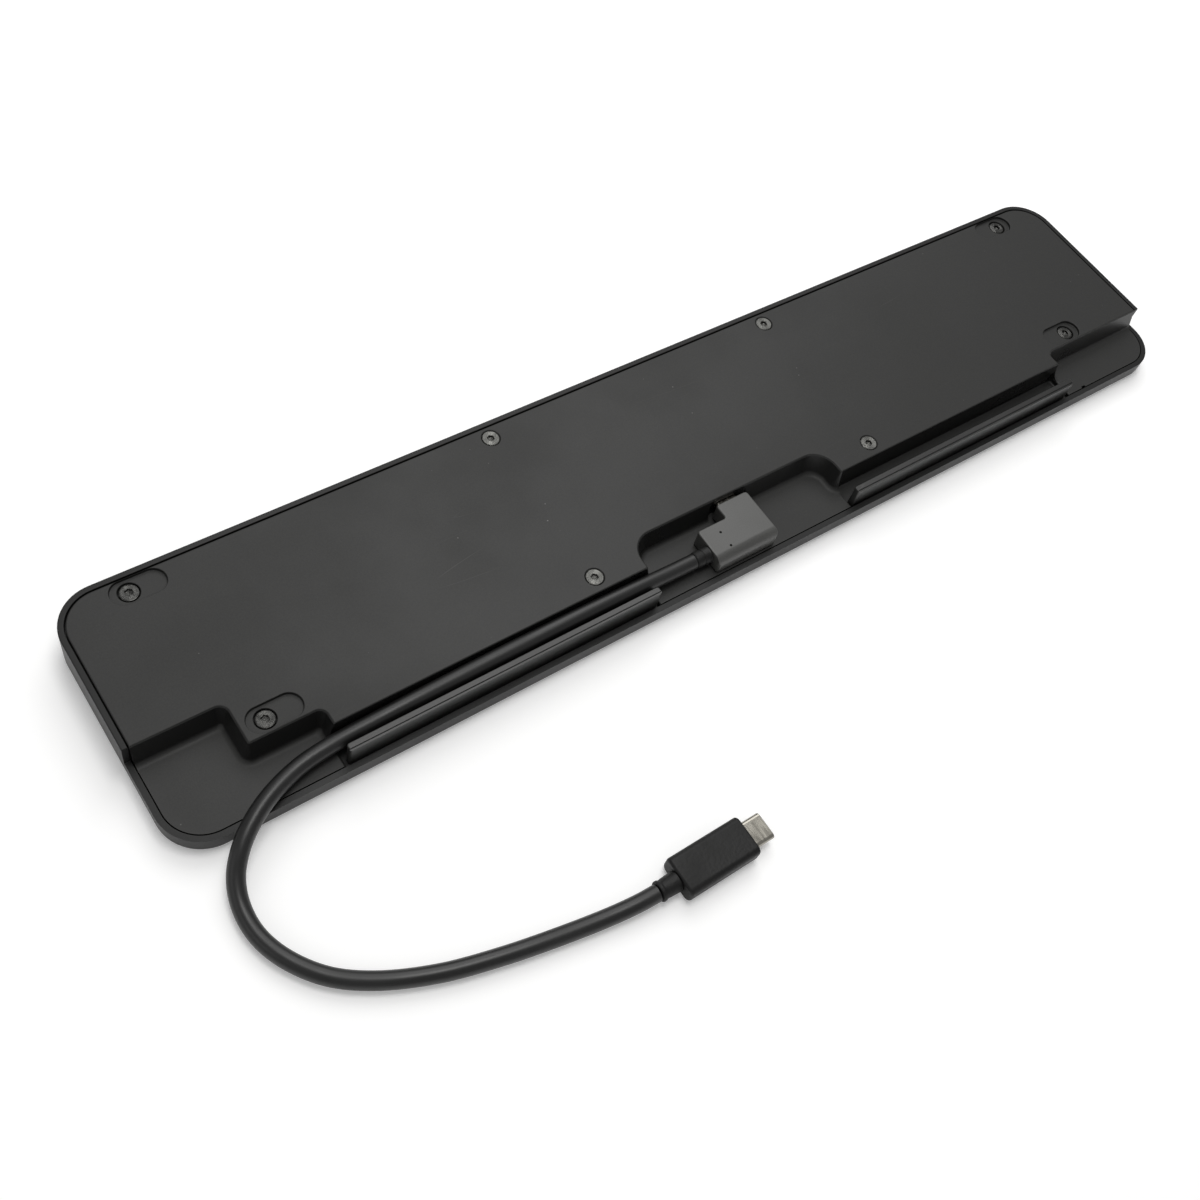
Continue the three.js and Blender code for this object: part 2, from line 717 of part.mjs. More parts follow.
const coilSize = 6;
const coilCorner = 1;
const coilY = 14;
const coilBottom = boardTop + touch;
const coilUnderSpreader = 0.35;
const coilTall = spreaderBottom - coilUnderSpreader - coilBottom;
const coils = [
  { name: "power_coil_1", x: -halfLength + 82 },
  { name: "power_coil_2", x: -halfLength + 91 },
];
for (const coil of coils) {
  const half = coilSize / 2;
  const shape = roundedRectangle(-half, half, -half, half, coilCorner);
  addPiece(electronics, coil.name, slab(shape, 0, coilTall, 3), chipBlack, coil.x, coilY, coilBottom);
}

const capacitorRadius = 2.5;
const capacitorTall = 2.4;
const capacitorY = 8;
const capacitorXs = [60, 68];
for (const [i, x] of capacitorXs.entries()) {
  const can = new THREE.CylinderGeometry(capacitorRadius, capacitorRadius, capacitorTall, 16);
  can.rotateX(Math.PI / 2);
  const z = boardTop + touch + capacitorTall / 2;
  addPiece(electronics, `capacitor_${i + 1}`, can, spreaderMetal, x, capacitorY, z);
}

const pad = new THREE.BoxGeometry(videoChip.size, videoChip.size, padTall);
const padZ = padBottom + padTall / 2;
addPiece(electronics, "thermal_pad", pad, padGrey, videoChip.x, videoChip.y, padZ);
const spreader = new THREE.BoxGeometry(spreaderLength, spreaderWidth, spreaderTall);
const spreaderZ = spreaderBottom + spreaderTall / 2;
addPiece(electronics, "heat_spreader", spreader, spreaderMetal, videoChip.x, videoChip.y, spreaderZ);

// Shell and contact carrier of a USB-C plug, drawn along +Y from the face of its overmould
function plugShell() {
  const cavity = slotBar(
    shellWidth - 2 * shellWall,
    shellThickness - 2 * shellWall,
    -shellRoot + shellWall,
    shellReach + 1,
  );
  return slotBar(shellWidth, shellThickness, -shellRoot, shellReach).subtract(cavity);
}

function plugCarrier() {
  const width = shellWidth - 2 * shellWall - 1;
  const thickness = shellThickness - 2 * shellWall - 0.4;
  return box(-width / 2, width / 2, -shellRoot + 0.6, 0.2, -thickness / 2, thickness / 2);
}

function plugSocket() {
  const width = shellWidth + 2 * touch;
  return slotBar(width, shellThickness + 2 * touch, -shellRoot - touch, 1);
}

// Right-angled plug in the host port: an L in plan, with its top front edge rounded
function hostOvermould() {
  const r = plugCorner;
  const left = -plugBodyLeft;
  const shoulderY = armFaceY - armLength;
  const outline = roundedOutline([
    { x: -armWidth / 2, y: armFaceY, r },
    { x: -armWidth / 2, y: shoulderY, r: plugInnerCorner },
    { x: left, y: shoulderY, r },
    { x: left, y: plugFrontY, r },
    { x: plugBodyRight, y: plugFrontY, r },
    { x: plugBodyRight, y: armFaceY, r },
  ]);
  const body = slab(outline, plugBottom, plugTop, 4);
  const roll = plugEdgeRoll;
  const corner = box(-far, far, -roll - 1, 0, 0, roll + 1).subtract(
    cylinder(roll, 0, 0, -far, far, 24).rotate([0, 90, 0]),
  );
  const rolled = body.subtract(corner.translate([0, plugFrontY + roll, plugTop - roll]));
  const dotX = left + dotInset;
  const dot = (y) => cylinder(dotRadius, dotX, y, plugTop - dotDepth, plugTop + 1, 8);
  const dotY = plugFrontY + plugBodyDepth / 2;
  return rolled
    .subtract(dot(dotY - dotSpacing / 2))
    .subtract(dot(dotY + dotSpacing / 2))
    .subtract(plugSocket().translate([0, armFaceY, plugCentreZ]));
}

addPiece(hostPlug, "host_plug_body", hostOvermould(), plugBlack);
addPiece(hostPlug, "host_plug_shell", plugShell(), nickel, 0, armFaceY, plugCentreZ);
addPiece(hostPlug, "host_plug_carrier", plugCarrier(), contactBlack, 0, armFaceY, plugCentreZ);

const collarRoot = plugThickness / 2 - 0.15;
const collarTip = cableDiameter / 2 + 0.15;
const collarProfile = [
  new THREE.Vector2(0, 0),
  new THREE.Vector2(collarRoot, 0),
  new THREE.Vector2(collarTip, collarLength - 0.4),
  new THREE.Vector2(collarTip - 0.25, collarLength),
  new THREE.Vector2(0, collarLength),
];
const collar = new THREE.LatheGeometry(collarProfile, 20);
const collarX = -plugBodyLeft - touch;
const collarMesh = addPiece(
  hostPlug,
  "host_plug_relief",
  solidOf(collar),
  plugBlack,
  collarX,
  cableY,
  plugCentreZ,
);
collarMesh.rotation.z = Math.PI / 2;

// Cable: out of the plug, along the left channel, over the lip, and in one loose bend on the table
const cableStartX = collarX - collarLength - touch;
const laptopPlugZ = laptopPlugThickness / 2;
const laptopReliefEnd = laptopPlugRear[0] - touch - laptopReliefLength;

// The cable's route, end to end
const cableRoute = [
  [cableStartX, cableY, plugCentreZ],
  [-31, -30.9, 9.9],
  [-46, -30.9, 10.8],
  [-66, -30.9, 11.5],
  [-90, -30.9, 11.5],
  [-115, -30.9, 10.9],
  [-130, -30.9, 10.2],
  [-142, -31.1, 9.7],
  [-153.5, -32.5, 9.5],
  [-163.2, -35.8, 9.4],
  [-170.6, -40, 9],
  [-175.8, -44.2, 7.6],
  [-179.8, -49.2, 4.9],
  [-181.9, -55.6, 3],
  [-182, -63.8, 2.5],
  [-179.2, -72.4, 2.5],
  [-172.6, -81.8, 2.5],
  [-163.4, -88.8, 2.5],
  [-149.3, -95.4, 2.5],
  [-134, -99.9, 2.5],
  [-118, -103.4, 2.5],
  [-104, -105.9, 2.65],
  [-95.5, -107, 3.1],
  [laptopReliefEnd - touch, laptopPlugRear[1], laptopPlugZ],
];
const cablePath = new THREE.CatmullRomCurve3(
  cableRoute.map((point) => new THREE.Vector3(...point)),
  false,
  "centripetal",
);
const cableSection = new THREE.Shape();
cableSection.absarc(0, 0, cableDiameter / 2, 0, 2 * Math.PI);
const cable = new THREE.ExtrudeGeometry(cableSection, {
  steps: 44,
  curveSegments: 5,
  extrudePath: cablePath,
});
addPiece(lead, "cable", solidOf(cable), cableBlack);

// Straight plug on the laptop's end, lying on the table and pointing along +X
const reliefProfile = [
  new THREE.Vector2(0, 0),
  new THREE.Vector2(3.2, 0),
  new THREE.Vector2(3, laptopReliefLength * 0.5),
  new THREE.Vector2(2.7, laptopReliefLength),
  new THREE.Vector2(0, laptopReliefLength),
];
const relief = new THREE.LatheGeometry(reliefProfile, 18);
const reliefMesh = addPiece(
  lead,
  "laptop_plug_relief",
  solidOf(relief),
  plugBlack,
  laptopPlugRear[0] - touch,
  laptopPlugRear[1],
  laptopPlugZ,
);
reliefMesh.rotation.z = Math.PI / 2;

const laptopPlug = new THREE.Group();
laptopPlug.position.set(laptopPlugRear[0] + laptopPlugLength, laptopPlugRear[1], laptopPlugZ);
laptopPlug.rotation.z = -Math.PI / 2;
lead.add(laptopPlug);

function laptopOvermould() {
  const x = laptopPlugWidth / 2;
  const outline = roundedRectangle(-x, x, -laptopPlugLength, 0, 1.2);
  const across = roundedRectangle(-x, x, -laptopPlugThickness / 2, laptopPlugThickness / 2, 1.6);
  const along = new THREE.ExtrudeGeometry(across, {
    depth: laptopPlugLength + 2,
    bevelEnabled: false,
    curveSegments: 4,
  });
  along.rotateX(Math.PI / 2);
  along.translate(0, 1, 0);
  const body = slab(outline, -laptopPlugThickness, laptopPlugThickness, 4);
  return body.intersect(solidOf(along)).subtract(plugSocket());
}

addPiece(laptopPlug, "laptop_plug_body", laptopOvermould(), plugBlack);
addPiece(laptopPlug, "laptop_plug_shell", plugShell(), nickel);
addPiece(laptopPlug, "laptop_plug_carrier", plugCarrier(), contactBlack);

export default dock;
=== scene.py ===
import math

import bmesh
import bpy
from mathutils import Matrix, Vector


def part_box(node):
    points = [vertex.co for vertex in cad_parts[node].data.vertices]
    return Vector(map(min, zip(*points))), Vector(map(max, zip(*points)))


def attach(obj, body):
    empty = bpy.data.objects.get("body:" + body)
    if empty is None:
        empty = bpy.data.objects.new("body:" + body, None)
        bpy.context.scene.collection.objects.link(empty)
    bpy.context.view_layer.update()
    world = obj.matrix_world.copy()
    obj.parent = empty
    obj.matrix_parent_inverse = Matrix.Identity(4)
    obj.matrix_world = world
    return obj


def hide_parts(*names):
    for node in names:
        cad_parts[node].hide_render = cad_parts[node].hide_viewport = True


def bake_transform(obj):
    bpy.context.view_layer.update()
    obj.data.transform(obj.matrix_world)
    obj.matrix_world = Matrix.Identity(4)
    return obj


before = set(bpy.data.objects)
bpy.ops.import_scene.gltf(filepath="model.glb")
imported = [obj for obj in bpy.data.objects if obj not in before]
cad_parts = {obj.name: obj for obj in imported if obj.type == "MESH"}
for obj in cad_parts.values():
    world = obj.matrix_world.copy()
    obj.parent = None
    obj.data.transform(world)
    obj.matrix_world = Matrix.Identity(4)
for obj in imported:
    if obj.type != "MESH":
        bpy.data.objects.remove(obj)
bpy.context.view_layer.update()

scene = bpy.context.scene
mm = 0.001
far = 400.0  # millimetres, beyond every piece
print("frame loaded:", len(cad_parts), "nodes")

# ---------------------------------------------------------------- camera and light

cameraSettings = {
    "place": (-0.22602, -0.16667, 0.34143),
    "turn": (32.0003, -10.5258, -34.7325),
    "lens": 41.44,
    "sensor": 36.0,
}

lightSettings = {
    "skyColor": (1.0, 1.0, 1.0),
    "skyStrength": 0.38,
    "lamps": [
        # name, place, aim, size, power, colour
        ("overhead", (0.0, 0.02, 1.0), (0.0, 0.0, 0.0), 0.42, 3.3, (1.0, 0.997, 0.985)),
        ("back", (0.4, 0.6, 0.9), (0.0, 0.0, 0.0), 0.9, 4.9, (1.0, 1.0, 0.995)),
        ("leftSide", (-0.95, 0.05, 0.55), (-0.1, 0.0, 0.0), 0.5, 0.6, (1.0, 1.0, 1.0)),
    ],
}


def makeCamera(settings):
    data = bpy.data.cameras.new("camera")
    data.sensor_width = settings["sensor"]
    data.lens = settings["lens"]
    data.clip_start, data.clip_end = 0.01, 10
    camera = bpy.data.objects.new("camera", data)
    camera.location = settings["place"]
    camera.rotation_euler = [math.radians(angle) for angle in settings["turn"]]
    scene.collection.objects.link(camera)
    scene.camera = camera


def makeLights(settings):
    world = bpy.data.worlds.new("studio")
    world.use_nodes = True
    sky = world.node_tree.nodes["Background"]
    sky.inputs["Color"].default_value = (*settings["skyColor"], 1)
    sky.inputs["Strength"].default_value = settings["skyStrength"]
    scene.world = world
    for name, place, aim, size, power, color in settings["lamps"]:
        data = bpy.data.lights.new(name, "AREA")
        data.shape = "DISK"
        data.size = size
        data.energy = power
        data.color = color
        lamp = bpy.data.objects.new(name, data)
        lamp.location = place
        lamp.rotation_euler = (Vector(aim) - Vector(place)).to_track_quat("-Z", "Y").to_euler()
        scene.collection.objects.link(lamp)


makeCamera(cameraSettings)
makeLights(lightSettings)
scene.view_settings.view_transform = "Standard"
print("camera and lights placed")

# ---------------------------------------------------------------- node groups and materials


def addNode(tree, kind, **values):
    node = tree.nodes.new(kind)
    for key, value in values.items():
        if key in node.inputs:
            node.inputs[key].default_value = value
        else:
            setattr(node, key, value)
    return node


def newGroup(name, inputs, outputs):
    group = bpy.data.node_groups.new(name, "ShaderNodeTree")
    for label, kind, default in inputs:
        socket = group.interface.new_socket(label, in_out="INPUT", socket_type=kind)
        socket.default_value = default
    for label, kind in outputs:
        group.interface.new_socket(label, in_out="OUTPUT", socket_type=kind)
    return group, group.nodes.new("NodeGroupInput"), group.nodes.new("NodeGroupOutput")


def mathNode(tree, operation, first, second=None, clamp=False):
    node = tree.nodes.new("ShaderNodeMath")
    node.operation = operation
    node.use_clamp = clamp
    for index, value in enumerate((first, second)):
        if value is None:
            continue
        if isinstance(value, (int, float)):
            node.inputs[index].default_value = value
        else:
            tree.links.new(value, node.inputs[index])
    return node.outputs[0]


def rangeNode(tree, value, low, high, toLow=0.0, toHigh=1.0, smooth=False):
    node = tree.nodes.new("ShaderNodeMapRange")
    node.clamp = True
    node.interpolation_type = "SMOOTHSTEP" if smooth else "LINEAR"
    tree.links.new(value, node.inputs["Value"])
    for label, amount in (("From Min", low), ("From Max", high), ("To Min", toLow), ("To Max", toHigh)):
        node.inputs[label].default_value = amount
    return node.outputs["Result"]


def noiseNode(tree, vector, scale, detail=2.0, roughness=0.5):
    node = tree.nodes.new("ShaderNodeTexNoise")
    if isinstance(scale, (int, float)):
        node.inputs["Scale"].default_value = scale
    else:
        tree.links.new(scale, node.inputs["Scale"])
    node.inputs["Detail"].default_value = detail
    node.inputs["Roughness"].default_value = roughness
    tree.links.new(vector, node.inputs["Vector"])
    return node.outputs["Fac"]


# Edge wear: the difference between the true normal and one rounded over a small radius,
# broken up by noise.
def buildEdgeWear():
    group, inside, outside = newGroup(
        "edgeWear",
        [("Radius", "NodeSocketFloat", 0.0004), ("Amount", "NodeSocketFloat", 0.5)],
        [("Mask", "NodeSocketFloat")],
    )
    bevel = addNode(group, "ShaderNodeBevel", samples=4)
    group.links.new(inside.outputs["Radius"], bevel.inputs["Radius"])
    surface = group.nodes.new("ShaderNodeNewGeometry")
    dot = group.nodes.new("ShaderNodeVectorMath")
    dot.operation = "DOT_PRODUCT"
    group.links.new(bevel.outputs["Normal"], dot.inputs[0])
    group.links.new(surface.outputs["Normal"], dot.inputs[1])
    bend = mathNode(group, "SUBTRACT", 1.0, dot.outputs["Value"])
    edge = rangeNode(group, bend, 0.01, 0.16, smooth=True)
    coords = group.nodes.new("ShaderNodeTexCoord")
    broken = rangeNode(group, noiseNode(group, coords.outputs["Object"], 420.0, 3.0), 0.35, 0.7)
    mask = mathNode(group, "MULTIPLY", edge, broken)
    mask = mathNode(group, "MULTIPLY", mask, inside.outputs["Amount"], clamp=True)
    group.links.new(mask, outside.inputs["Mask"])
    return group


# Moulded grain: fine bumps of one size over a softer waviness.
def buildGrain():
    group, inside, outside = newGroup(
        "mouldedGrain",
        [("Scale", "NodeSocketFloat", 2600.0)],
        [("Height", "NodeSocketFloat"), ("Tone", "NodeSocketFloat")],
    )
    coords = group.nodes.new("ShaderNodeTexCoord")
    fine = noiseNode(group, coords.outputs["Object"], inside.outputs["Scale"], 2.0, 0.6)
    broad = noiseNode(group, coords.outputs["Object"], 90.0, 2.0, 0.5)
    height = mathNode(group, "ADD", fine, mathNode(group, "MULTIPLY", broad, 0.6))
    group.links.new(height, outside.inputs["Height"])
    tone = rangeNode(group, fine, 0.3, 0.7)
    group.links.new(tone, outside.inputs["Tone"])
    return group


# Handling marks: wide cloudy smudges and a few hair-thin scratches.
def buildHandling():
    group, inside, outside = newGroup(
        "handlingMarks",
        [("Smudge Scale", "NodeSocketFloat", 22.0)],
        [("Smudge", "NodeSocketFloat"), ("Scratch", "NodeSocketFloat"), ("Speck", "NodeSocketFloat")],
    )
    coords = group.nodes.new("ShaderNodeTexCoord")
    cloud = noiseNode(group, coords.outputs["Object"], inside.outputs["Smudge Scale"], 4.0, 0.55)
    group.links.new(rangeNode(group, cloud, 0.35, 0.72, smooth=True), outside.inputs["Smudge"])
    turned = addNode(group, "ShaderNodeMapping")
    turned.inputs["Rotation"].default_value = (0.0, 0.0, 0.5)
    turned.inputs["Scale"].default_value = (0.05, 1.0, 1.0)
    group.links.new(coords.outputs["Object"], turned.inputs["Vector"])
    streak = noiseNode(group, turned.outputs["Vector"], 120.0, 0.0, 0.4)
    line = mathNode(group, "ABSOLUTE", mathNode(group, "SUBTRACT", streak, 0.5))
    thin = rangeNode(group, line, 0.0, 0.003, 1.0, 0.0)
    sparse = rangeNode(group, noiseNode(group, coords.outputs["Object"], 31.0, 1.0), 0.64, 0.72)
    group.links.new(mathNode(group, "MULTIPLY", thin, sparse), outside.inputs["Scratch"])
    cells = group.nodes.new("ShaderNodeTexVoronoi")
    cells.inputs["Scale"].default_value = 260.0
    group.links.new(coords.outputs["Object"], cells.inputs["Vector"])
    dust = rangeNode(group, cells.outputs["Distance"], 0.02, 0.07, 1.0, 0.0)
    rare = rangeNode(group, noiseNode(group, coords.outputs["Object"], 47.0, 2.0), 0.6, 0.7)
    group.links.new(mathNode(group, "MULTIPLY", dust, rare), outside.inputs["Speck"])
    return group


edgeWear = buildEdgeWear()
mouldedGrain = buildGrain()
handlingMarks = buildHandling()


def placeGroup(tree, group, **values):
    node = tree.nodes.new("ShaderNodeGroup")
    node.node_tree = group
    for key, value in values.items():
        node.inputs[key.replace("_", " ")].default_value = value
    return node


def mixColor(tree, factor, first, second):
    node = tree.nodes.new("ShaderNodeMix")
    node.data_type = "RGBA"
    tree.links.new(factor, node.inputs["Factor"])
    for label, value in (("A", first), ("B", second)):
        socket = [one for one in node.inputs if one.name == label and one.type == "RGBA"][0]
        if isinstance(value, tuple):
            socket.default_value = (*value, 1)
        else:
            tree.links.new(value, socket)
    return [one for one in node.outputs if one.type == "RGBA"][0]


def newMaterial(name):
    material = bpy.data.materials.new(name)
    material.use_nodes = True
    tree = material.node_tree
    return material, tree, tree.nodes["Principled BSDF"]


def addBump(tree, shader, height, strength, distance):
    bump = tree.nodes.new("ShaderNodeBump")
    bump.inputs["Strength"].default_value = strength
    bump.inputs["Distance"].default_value = distance
    tree.links.new(height, bump.inputs["Height"])
    tree.links.new(bump.outputs["Normal"], shader.inputs["Normal"])


# Where a surface stands steeply, and how strongly: it sets where shade is painted on steep walls and where
# they are made glossier
def wallMask(tree, amount):
    coords = tree.nodes.new("ShaderNodeTexCoord")
    parts = tree.nodes.new("ShaderNodeSeparateXYZ")
    tree.links.new(coords.outputs["Normal"], parts.inputs["Vector"])
    return rangeNode(tree, parts.outputs["Z"], 0.3, 0.85, amount, 0.0)


# One moulded plastic or rubber, with its grain, edge wear, smudges, scratches and specks, and, where its
# look asks for it, painted shade and extra gloss on its steep walls
def makePlastic(name, look):
    material, tree, shader = newMaterial(name)
    grain = placeGroup(tree, mouldedGrain, Scale=look["grainScale"])
    wear = placeGroup(tree, edgeWear, Radius=look["wearRadius"], Amount=look["wear"])
    marks = placeGroup(tree, handlingMarks, Smudge_Scale=look["smudgeScale"])
    color = mixColor(tree, grain.outputs["Tone"], look["dark"], look["light"])
    smudge = mathNode(tree, "MULTIPLY", marks.outputs["Smudge"], look["smudge"])
    color = mixColor(tree, smudge, color, look["worn"])
    color = mixColor(tree, wear.outputs["Mask"], color, look["worn"])
    speck = mathNode(tree, "MULTIPLY", marks.outputs["Speck"], look["speck"])
    scratch = mathNode(tree, "MULTIPLY", marks.outputs["Scratch"], look["scratch"])
    light = mathNode(tree, "MAXIMUM", speck, scratch)
    color = mixColor(tree, light, color, look["dust"])
    # painted shade: steep walls are darkened towards a painted shade colour, as if less light fell on them
    steep = wallMask(tree, look["paintedWallShade"]) if "paintedWallShade" in look else None
    if steep:
        color = mixColor(tree, steep, color, look["paintedWallShadeColor"])
    tree.links.new(color, shader.inputs["Base Color"])
    rough = rangeNode(tree, marks.outputs["Smudge"], 0.0, 1.0, look["rough"][0], look["rough"][1])
    rough = mathNode(tree, "SUBTRACT", rough, mathNode(tree, "MULTIPLY", wear.outputs["Mask"], 0.15))
    if steep:
        rough = mathNode(tree, "SUBTRACT", rough, mathNode(tree, "MULTIPLY", steep, look["wallPolish"]))
    tree.links.new(rough, shader.inputs["Roughness"])
    shader.inputs["Specular IOR Level"].default_value = look["specular"]
    addBump(tree, shader, grain.outputs["Height"], look["bump"], look["bumpDepth"])
    return material


# Fine rings round a screw's own axis, which draw the light out into a fan
def turnedRings(tree, coords, scale):
    centred = addNode(tree, "ShaderNodeMapping")
    centred.inputs["Location"].default_value = (-0.5, -0.5, 0.0)
    tree.links.new(coords.outputs["Generated"], centred.inputs["Vector"])
    rings = addNode(tree, "ShaderNodeTexWave", wave_type="RINGS", rings_direction="Z", Scale=scale)
    rings.inputs["Distortion"].default_value = 0.4
    tree.links.new(centred.outputs["Vector"], rings.inputs["Vector"])
    return rings.outputs["Fac"]


# One metal, with fine scuffs that change its roughness and its shade, and rings where it is turned
def makeMetal(name, look):
    material, tree, shader = newMaterial(name)
    coords = tree.nodes.new("ShaderNodeTexCoord")
    stretch = addNode(tree, "ShaderNodeMapping", Scale=look["stretch"])
    tree.links.new(coords.outputs["Object"], stretch.inputs["Vector"])
    scuff = noiseNode(tree, stretch.outputs["Vector"], look["scale"], 4.0, 0.6)
    wear = placeGroup(tree, edgeWear, Radius=look["wearRadius"], Amount=look["wear"])
    color = mixColor(tree, rangeNode(tree, scuff, 0.3, 0.7), look["dark"], look["light"])
    color = mixColor(tree, wear.outputs["Mask"], color, look["worn"])
    tree.links.new(color, shader.inputs["Base Color"])
    tree.links.new(rangeNode(tree, scuff, 0.3, 0.7, *look["rough"]), shader.inputs["Roughness"])
    shader.inputs["Metallic"].default_value = look["metallic"]
    height = turnedRings(tree, coords, look["rings"]) if "rings" in look else scuff
    addBump(tree, shader, height, look["bump"], look["bumpDepth"])
    return material


# Circuit board: solder mask over copper tracks, with speckled vias
def makeBoard(name, look):
    material, tree, shader = newMaterial(name)
    coords = tree.nodes.new("ShaderNodeTexCoord")
    tracks = addNode(tree, "ShaderNodeTexBrick", Scale=look["trackScale"])
    tracks.inputs["Mortar Size"].default_value = 0.06
    tracks.inputs["Color1"].default_value = (0.2, 0.2, 0.2, 1)
    tracks.inputs["Color2"].default_value = (0.8, 0.8, 0.8, 1)
    tracks.inputs["Mortar"].default_value = (0.5, 0.5, 0.5, 1)
    tree.links.new(coords.outputs["Object"], tracks.inputs["Vector"])
    copper = rangeNode(tree, tracks.outputs["Fac"], 0.0, 1.0)
    noise = noiseNode(tree, coords.outputs["Object"], 300.0, 3.0)
    color = mixColor(tree, noise, look["dark"], look["light"])
    color = mixColor(tree, mathNode(tree, "MULTIPLY", copper, 0.6), color, look["copper"])
    tree.links.new(color, shader.inputs["Base Color"])
    tree.links.new(rangeNode(tree, noise, 0.3, 0.7, 0.3, 0.45), shader.inputs["Roughness"])
    addBump(tree, shader, copper, 0.4, 0.00005)
    return material


plasticLooks = {
    "coverPlastic": {
        # painted shade on the cover's steep walls: how strongly they are darkened, the painted shade
        # colour, and how much glossier they are
        "paintedWallShade": 0.8, "wallPolish": 0.3, "paintedWallShadeColor": (0.008, 0.008, 0.0078),
        "dark": (0.0145, 0.0145, 0.014), "light": (0.0203, 0.0203, 0.0193), "worn": (0.041, 0.041, 0.0386),
        "dust": (0.22, 0.22, 0.21), "grainScale": 2400.0, "wearRadius": 0.0005, "wear": 0.35,
        "smudgeScale": 16.0, "smudge": 0.10, "speck": 0.7, "scratch": 0.1, "rough": (0.48, 0.60),
        "specular": 0.38, "bump": 0.25, "bumpDepth": 0.00006,
    },
    "shellPlastic": {
        "dark": (0.006, 0.006, 0.006), "light": (0.0085, 0.0085, 0.0082), "worn": (0.031, 0.031, 0.0303),
        "dust": (0.2, 0.2, 0.19), "grainScale": 1900.0, "wearRadius": 0.0004, "wear": 0.4,
        "smudgeScale": 20.0, "smudge": 0.08, "speck": 0.3, "scratch": 0.15, "rough": (0.42, 0.54),
        "specular": 0.3, "bump": 0.16, "bumpDepth": 0.00005,
    },
    "railPlastic": {
        "dark": (0.0153, 0.0153, 0.0149), "light": (0.0198, 0.0198, 0.0189), "worn": (0.045, 0.045, 0.0428),
        "dust": (0.2, 0.2, 0.19), "grainScale": 2600.0, "wearRadius": 0.0003, "wear": 0.5,
        "smudgeScale": 26.0, "smudge": 0.12, "speck": 0.25, "scratch": 0.12, "rough": (0.28, 0.40),
        "specular": 0.5, "bump": 0.10, "bumpDepth": 0.00004,
    },
    "plugPlastic": {
        "dark": (0.0347, 0.0347, 0.0323), "light": (0.049, 0.049, 0.0462), "worn": (0.0863, 0.0863, 0.081),
        "dust": (0.25, 0.25, 0.24), "grainScale": 2600.0, "wearRadius": 0.0003, "wear": 0.4,
        "smudgeScale": 40.0, "smudge": 0.15, "speck": 0.2, "scratch": 0.1, "rough": (0.42, 0.5),
        "specular": 0.8, "bump": 0.3, "bumpDepth": 0.00004,
    },
    "overmould": {
        "dark": (0.00324, 0.00324, 0.00324), "light": (0.0054, 0.0054, 0.00525),
        "worn": (0.0121, 0.0121, 0.0115),
        "dust": (0.2, 0.2, 0.19), "grainScale": 1100.0, "wearRadius": 0.0004, "wear": 0.3,
        "smudgeScale": 60.0, "smudge": 0.2, "speck": 0.3, "scratch": 0.1, "rough": (0.45, 0.6),
        "specular": 0.3, "bump": 1.0, "bumpDepth": 0.00008,
    },
    "cableJacket": {
        "dark": (0.0047, 0.0047, 0.0047), "light": (0.00706, 0.00706, 0.00706),
        "worn": (0.0146, 0.0146, 0.0146),
        "dust": (0.15, 0.15, 0.15), "grainScale": 1200.0, "wearRadius": 0.0003, "wear": 0.1,
        "smudgeScale": 45.0, "smudge": 0.25, "speck": 0.25, "scratch": 0.05, "rough": (0.36, 0.46),
        "specular": 0.5, "bump": 0.1, "bumpDepth": 0.00006,
    },
    "insulator": {
        "dark": (0.0096, 0.0096, 0.0096), "light": (0.016, 0.016, 0.016), "worn": (0.04, 0.04, 0.04),
        "dust": (0.15, 0.15, 0.15), "grainScale": 3200.0, "wearRadius": 0.0002, "wear": 0.3,
        "smudgeScale": 80.0, "smudge": 0.1, "speck": 0.2, "scratch": 0.1, "rough": (0.4, 0.5),
        "specular": 0.5, "bump": 0.1, "bumpDepth": 0.00003,
    },
    "chipResin": {
        "dark": (0.011, 0.011, 0.012), "light": (0.02, 0.02, 0.021), "worn": (0.05, 0.05, 0.05),
        "dust": (0.3, 0.3, 0.3), "grainScale": 3600.0, "wearRadius": 0.0002, "wear": 0.3,
        "smudgeScale": 120.0, "smudge": 0.15, "speck": 0.2, "scratch": 0.1, "rough": (0.5, 0.62),
        "specular": 0.4, "bump": 0.2, "bumpDepth": 0.00003,
    },
    "padSilicone": {
        "dark": (0.23, 0.27, 0.33), "light": (0.29, 0.33, 0.38), "worn": (0.35, 0.38, 0.42),
        "dust": (0.4, 0.4, 0.4), "grainScale": 900.0, "wearRadius": 0.0003, "wear": 0.2,
        "smudgeScale": 90.0, "smudge": 0.3, "speck": 0.3, "scratch": 0.1, "rough": (0.7, 0.9),
        "specular": 0.3, "bump": 0.4, "bumpDepth": 0.0001,
    },
}

